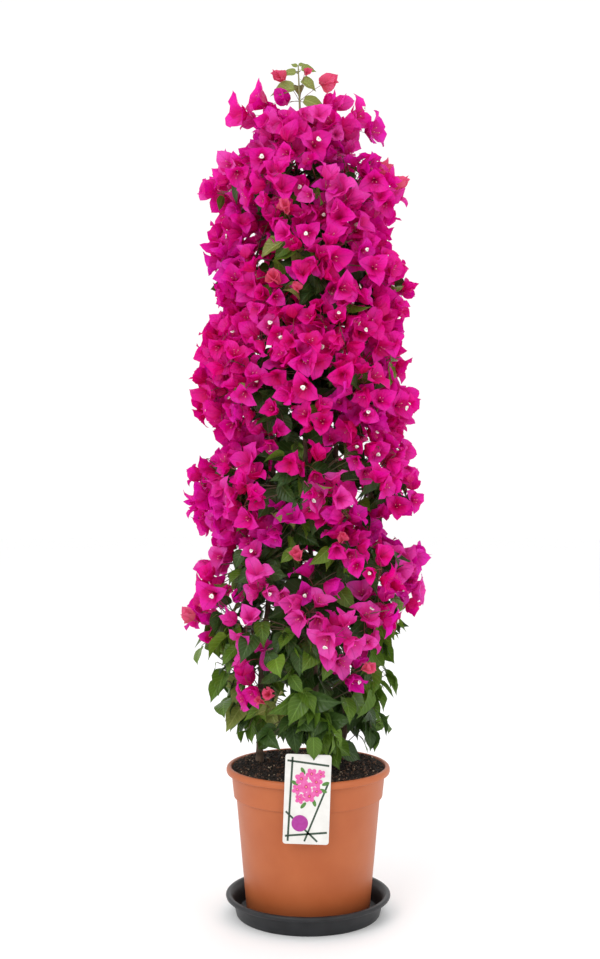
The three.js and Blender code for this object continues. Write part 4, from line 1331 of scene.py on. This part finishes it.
def blade_finish(name, colours, vein_colour, veins, roughness, specular, glow_colour, glow_share, foot=None):
    """A thin blade's material: two colours in soft patches, another towards its foot, veins, and some light
    let through. The foot is given as its colour and where it fades; on bracts that colour is darker and
    redder, partly the bract's own deeper hue and partly painted shade deep in the cup."""
    material = mottled(name, colours, roughness, scale=30.0, detail=3.0, specular=specular)
    tree = material.node_tree
    shader = tree.nodes["Principled BSDF"]
    colour = tree.nodes["patches"].outputs["Result"]
    mask, swell, along = vein_pattern(tree, *veins)
    if foot:
        # The darker foot colour fades in towards each bract's foot: partly its own deeper hue, partly painted
        # shade in the cup.
        foot_hue_and_shade, fade_from, fade_to = foot
        fade = add_node(tree, "MapRange", Value=along, From_Min=fade_from, From_Max=fade_to)
        faded = add_node(tree, "Mix", Factor=fade.outputs["Result"], A=(*foot_hue_and_shade, 1.0), B=colour)
        colour = faded.outputs["Result"]
    veined = add_node(tree, "Mix", Factor=mask, A=colour, B=(*vein_colour, 1.0))
    tree.links.new(veined.outputs["Result"], shader.inputs["Base Color"])
    bump = add_node(tree, "Bump", Strength=0.6, Distance=0.0012, Height=swell)
    tree.links.new(bump.outputs["Normal"], shader.inputs["Normal"])
    glow = add_node(tree, "BsdfTranslucent", Color=(*glow_colour, 1.0))
    both = add_node(tree, "MixShader", Fac=glow_share)
    tree.links.new(shader.outputs["BSDF"], both.inputs[1])
    tree.links.new(glow.outputs["BSDF"], both.inputs[2])
    tree.links.new(both.outputs["Shader"], tree.nodes["Material Output"].inputs["Surface"])
    return material


bloom_middles = np.array([place + 2 * facing for place, facing, spin, scale, kind, draw in bloom_places])
bloom_scales = np.array([scale for place, facing, spin, scale, kind, draw in bloom_places])


def clears_blooms(leaf):
    """Whether a leaf passes no bloom too closely to miss it."""
    root, side, way, face, length, kind = leaf
    if root[2] > SHOOT_CLEAR:
        return True
    for share in (0.4, 0.7, 1.0, LEAF_TIP):
        gaps = np.linalg.norm(bloom_middles - (root + share * length * way), axis=1)
        if np.any(gaps < CLEAR_OF_BLOOM * bloom_scales):
            return False
    return True


leaf_places = [leaf for leaf in leaf_places if clears_blooms(leaf)]
leaf_flat, leaf_net, leaf_corners = blade_grid(LEAF_ROWS, 4)
leaf_random = np.random.default_rng(5)
leaf_shapes = [leaf_shape(leaf_flat, leaf_random) for i in range(LEAF_VARIANTS)]
stalk_points, stalk_net, stalk_corners = stalk(STALK_LENGTH, STALK_RADIUS)
for kind, (leaf_name, leaf_colour, leaf_other) in enumerate(LEAF_KINDS):
    heaps = []
    for variant, points in enumerate(leaf_shapes):
        chosen = chosen_from(leaf_places, 5, kind, LEAF_VARIANTS, variant)
        turns = [length * np.stack([side, way, face], 1) for root, side, way, face, length, own in chosen]
        roots = [leaf[0] for leaf in chosen]
        heaps.append((points, leaf_net, leaf_corners, turns, roots))
        heaps.append((stalk_points, stalk_net, stalk_corners, turns, roots))
    pale_vein = tuple(min(1.0, VEIN_PALER * part + 0.02) for part in leaf_other)
    leaf_glow = tuple(min(1.0, GLOW_BRIGHTER * part) for part in leaf_other)
    leaf_finish = blade_finish(
        leaf_name, (leaf_colour, leaf_other), pale_vein, LEAF_VEINS, roughness=0.3, specular=0.22,
        glow_colour=leaf_glow, glow_share=0.15,
    )
    leaves = joined(leaf_name, heaps, leaf_finish)
    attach(leaves, "root")
    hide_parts(*foliage_nodes)

# Bracts
# Each bloom is three papery bracts, heart-shaped and pointed, that stand round the true flowers as an open or
# half-closed cup. Most are magenta, some lean to purple or to crimson, and the youngest are coral.
BRACT_ROWS = [0.0, 0.07, 0.2, 0.38, 0.56, 0.72, 0.85, 0.94, 1.0]
BRACT_EDGE = [0.0, 0.62, 0.92, 1.0, 0.92, 0.7, 0.39, 0.13, 0.0]
BRACT_LENGTH = 35.0
BRACT_WIDTH = 27.5
BRACT_LENGTHS = (0.88, 1.1)
BRACT_WIDTHS = (0.9, 1.15)
FOOT_LEAN = (14, 34)
TIP_LEAN = (-4, 92)
BRACT_CURL = (-15, 60)
CURL_FROM = 0.6
OWN_OPENING = 0.25
BRACT_FOLD = (0.35, 1.25)
BRACT_RIPPLE = (2.0, 4.4)
BRACT_RIPPLES = (8, 15)
BRACT_TWIST = 3
BRACT_TURN = 12
CURVE_STEPS = 40
FOOT_OUT = 0.3
BRACT_VEINS = (6.0, 0.4, 0.06, 0.36)
VEIN_DARKER = 0.45
BLOOM_VARIANTS = 18
BLOOM_OPENINGS = (0.28, 1.0)
BUD_VARIANTS = 4
BUD_OPENING = 0.04
BUD_STEP = 0.05
# Each kind has its piece's name, its two colours and the colour of its foot, which is darker and redder:
# partly the bract's own deeper hue, partly painted shade deep in the cup.
BRACT_KINDS = [
    ("bracts_magenta", (0.840, 0.002, 0.365), (0.900, 0.034, 0.490), (0.600, 0.0, 0.110)),
    ("bracts_pink", (0.860, 0.036, 0.440), (0.910, 0.120, 0.590), (0.660, 0.004, 0.190)),
    ("bracts_purple", (0.780, 0.003, 0.410), (0.850, 0.034, 0.540), (0.540, 0.0, 0.150)),
    ("bracts_crimson", (0.830, 0.001, 0.290), (0.890, 0.014, 0.400), (0.600, 0.0, 0.075)),
    ("bracts_young", (0.800, 0.095, 0.225), (0.850, 0.150, 0.300), (0.700, 0.120, 0.170)),
]
FOOT_FADE = (0.05, 0.66)


def bloom_shape(flat, random, opening):
    """The points of one bloom of three bracts, which faces +Z, from three flat blades. An opening of 0 is a
    closed bud and one of 1 is wide open."""
    across, along = flat[:, 0], flat[:, 1]
    bracts = []
    for third in range(3):
        own = min(1.0, max(0.0, opening + random.uniform(-OWN_OPENING, OWN_OPENING) * min(1.0, 4 * opening)))
        first = math.radians(mix(*FOOT_LEAN, own))
        last = math.radians(mix(*TIP_LEAN, own))
        curl = math.radians(random.uniform(*BRACT_CURL)) * min(1.0, 0.1 + 1.2 * own)
        length = BRACT_LENGTH * random.uniform(*BRACT_LENGTHS)
        width = BRACT_WIDTH * random.uniform(*BRACT_WIDTHS)
        steps = np.linspace(0, 1, CURVE_STEPS + 1)
        lean = first + (last - first) * steps + curl * np.maximum(0, steps - CURL_FROM) / (1 - CURL_FROM)
        middle = lean[:-1] + 0.5 * np.diff(lean)
        out = np.interp(along, steps, np.concatenate([[0], np.cumsum(np.sin(middle)) / CURVE_STEPS])) * length
        on = np.interp(along, steps, np.concatenate([[0], np.cumsum(np.cos(middle)) / CURVE_STEPS])) * length
        angle = np.interp(along, steps, lean)
        edge = np.interp(along, BRACT_ROWS, BRACT_EDGE) * width / 2
        fold = random.uniform(*BRACT_FOLD) * (1 - 0.75 * along)
        ripple = random.uniform(*BRACT_RIPPLE)
        ripple = ripple * np.sin(along * random.uniform(*BRACT_RIPPLES) + random.uniform(0, 6) + 2.5 * across)
        lift = (fold * np.abs(across) ** 1.3 + ripple * across ** 2 / (width / 2)) * edge
        twist = random.uniform(-BRACT_TWIST, BRACT_TWIST) * along ** 2
        turn = math.radians(120 * third + random.uniform(-BRACT_TURN, BRACT_TURN))
        radial = np.array([math.cos(turn), math.sin(turn), 0.0])
        tangent = np.array([-math.sin(turn), math.cos(turn), 0.0])
        points = (FOOT_OUT + out - lift * np.cos(angle))[:, None] * radial
        points = points + (across * edge + twist)[:, None] * tangent
        points[:, 2] += on + lift * np.sin(angle)
        bracts.append(points)
    return np.concatenate(bracts)


bract_flat, bract_net, bract_corners = blade_grid(BRACT_ROWS, 4)
bloom_net = np.concatenate([bract_net + len(bract_flat) * third for third in range(3)])
bloom_corners = np.concatenate([bract_corners] * 3)
bloom_random = np.random.default_rng(23)
bloom_steps = [7 * i % BLOOM_VARIANTS / (BLOOM_VARIANTS - 1) for i in range(BLOOM_VARIANTS)]
bloom_openings = [mix(*BLOOM_OPENINGS, step) for step in bloom_steps]
bloom_shapes = [bloom_shape(bract_flat, bloom_random, opening) for opening in bloom_openings]
bud_openings = [BUD_OPENING + BUD_STEP * i for i in range(BUD_VARIANTS)]
bud_shapes = [bloom_shape(bract_flat, bloom_random, opening) for opening in bud_openings]

for kind, (bract_name, bract_colour, bract_other, bract_foot_hue_and_shade) in enumerate(BRACT_KINDS):
    heaps = []
    shapes = bud_shapes if kind == YOUNG else bloom_shapes
    for variant, points in enumerate(shapes):
        chosen = chosen_from(bloom_places, 4, kind, len(shapes), variant)
        turns = [bloom_turn(facing, spin, scale) for place, facing, spin, scale, own, draw in chosen]
        roots = [bloom_foot(place, facing, scale) for place, facing, spin, scale, own, draw in chosen]
        heaps.append((points, bloom_net, bloom_corners, turns, roots))
    dark_vein = tuple(VEIN_DARKER * part for part in bract_colour)
    bract_finish = blade_finish(
        bract_name, (bract_colour, bract_other), dark_vein, BRACT_VEINS, roughness=0.5, specular=0.2,
        # The foot colour passed here is partly painted shade deep in the cup.
        glow_colour=bract_colour, glow_share=0.4, foot=(bract_foot_hue_and_shade, *FOOT_FADE),
    )
    bracts = joined(bract_name, heaps, bract_finish)
    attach(bracts, "root")
    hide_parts(*foliage_nodes)

# True flowers
# Inside a bloom stand three slim tubes, pink-red on the outside. Now and then one has opened into a small
# cream-white star with a yellow eye.
TUBE_LENGTH = 23.0
TUBE_RADIUS = (0.7, 0.85, 1.15)
TUBE_SHARE = 0.62
TUBE_LEAN = 13
TUBE_SIDES = 5
CLOSED_LENGTH = 0.82
CLOSED_STEP = 0.1
STAR_RADIUS = 3.9
STAR_INNER = 3.2
STAR_THICK = 0.5
STAR_RISE = 0.9
STAR_DIP = 0.2
EYE_RADIUS = 0.85
TIP_RADIUS = 1.0
TUBE_COLOURS = ((0.440, 0.004, 0.090), (0.560, 0.030, 0.150))
STAR_COLOURS = ((0.930, 0.920, 0.880), (0.880, 0.870, 0.780))
EYE_COLOURS = ((0.300, 0.230, 0.060), (0.420, 0.330, 0.080))
TIP_COLOURS = ((0.760, 0.240, 0.280), (0.820, 0.460, 0.380))

tube_run = np.array([[0.0, 0, 0], [0, 0, 0.5], [0, 0, 1.0]]) * TUBE_LENGTH
tube = (tube_points(tube_run, np.array(TUBE_RADIUS), TUBE_SIDES), *tube_net(2, TUBE_SIDES))

star_shape = bmesh.new()
bmesh.ops.create_cone(
    star_shape, cap_ends=True, segments=10, radius1=STAR_RADIUS, radius2=STAR_RADIUS, depth=STAR_THICK,
)
for vert in star_shape.verts:
    lobe = round(math.atan2(vert.co.y, vert.co.x) / (math.pi / 5)) % 2
    if lobe:
        vert.co.x *= STAR_INNER / STAR_RADIUS
        vert.co.y *= STAR_INNER / STAR_RADIUS
    vert.co.z += TUBE_LENGTH + (STAR_DIP if lobe else STAR_RISE)
star = arrays_of(star_shape)


def bead(radius, height):
    """A small round bead on a flower's axis."""
    shape = bmesh.new()
    bmesh.ops.create_icosphere(shape, subdivisions=1, radius=radius)
    bmesh.ops.translate(shape, verts=shape.verts, vec=(0, 0, height))
    return arrays_of(shape)


eye = bead(EYE_RADIUS, TUBE_LENGTH + STAR_RISE)
tip = bead(TIP_RADIUS, TUBE_LENGTH)

tube_turns, tube_roots, star_turns, star_roots, tip_turns, tip_roots = [], [], [], [], [], []
for place, facing, spin, scale, kind, draw in bloom_places:
    if draw > TUBE_SHARE or kind == YOUNG:
        continue
    is_open = draw < STAR_SHARE
    for third in range(3):
        turn = bloom_turn(facing, spin + 120 * third, scale)
        lean = np.array(Matrix.Rotation(math.radians(TUBE_LEAN), 3, "Y"))
        long = 1.0 if is_open and third == 0 else CLOSED_LENGTH - CLOSED_STEP * third
        tube_turns.append(turn @ lean * long)
        tube_roots.append(bloom_foot(place, facing, scale))
        if is_open and third == 0:
            star_turns.append(turn @ lean)
            star_roots.append(tube_roots[-1])
        else:
            tip_turns.append(tube_turns[-1])
            tip_roots.append(tube_roots[-1])

tube_skin = mottled("flower_tube_skin", TUBE_COLOURS, roughness=0.5, scale=200.0)
tubes = joined("flower_tubes", [(*tube, tube_turns, tube_roots)], tube_skin)
star_skin = mottled("star_flower_skin", STAR_COLOURS, roughness=0.5, scale=300.0)
stars = joined("star_flowers", [(*star, star_turns, star_roots)], star_skin, smooth=False)
eye_skin = mottled("flower_eye_skin", EYE_COLOURS, roughness=0.6, scale=900.0)
eyes = joined("flower_eyes", [(*eye, star_turns, star_roots)], eye_skin)
tip_skin = mottled("flower_tip_skin", TIP_COLOURS, roughness=0.6, scale=300.0)
tips = joined("flower_tips", [(*tip, tip_turns, tip_roots)], tip_skin)
for flower_piece in (tubes, tips, stars, eyes):
    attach(flower_piece, "root")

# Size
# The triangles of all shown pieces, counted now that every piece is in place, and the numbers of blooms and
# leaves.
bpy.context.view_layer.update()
triangles = sum(len(piece.data.polygons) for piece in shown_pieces() if piece.type == "MESH")
print("triangles", triangles, "blooms", len(bloom_places), "leaves", len(leaf_places))
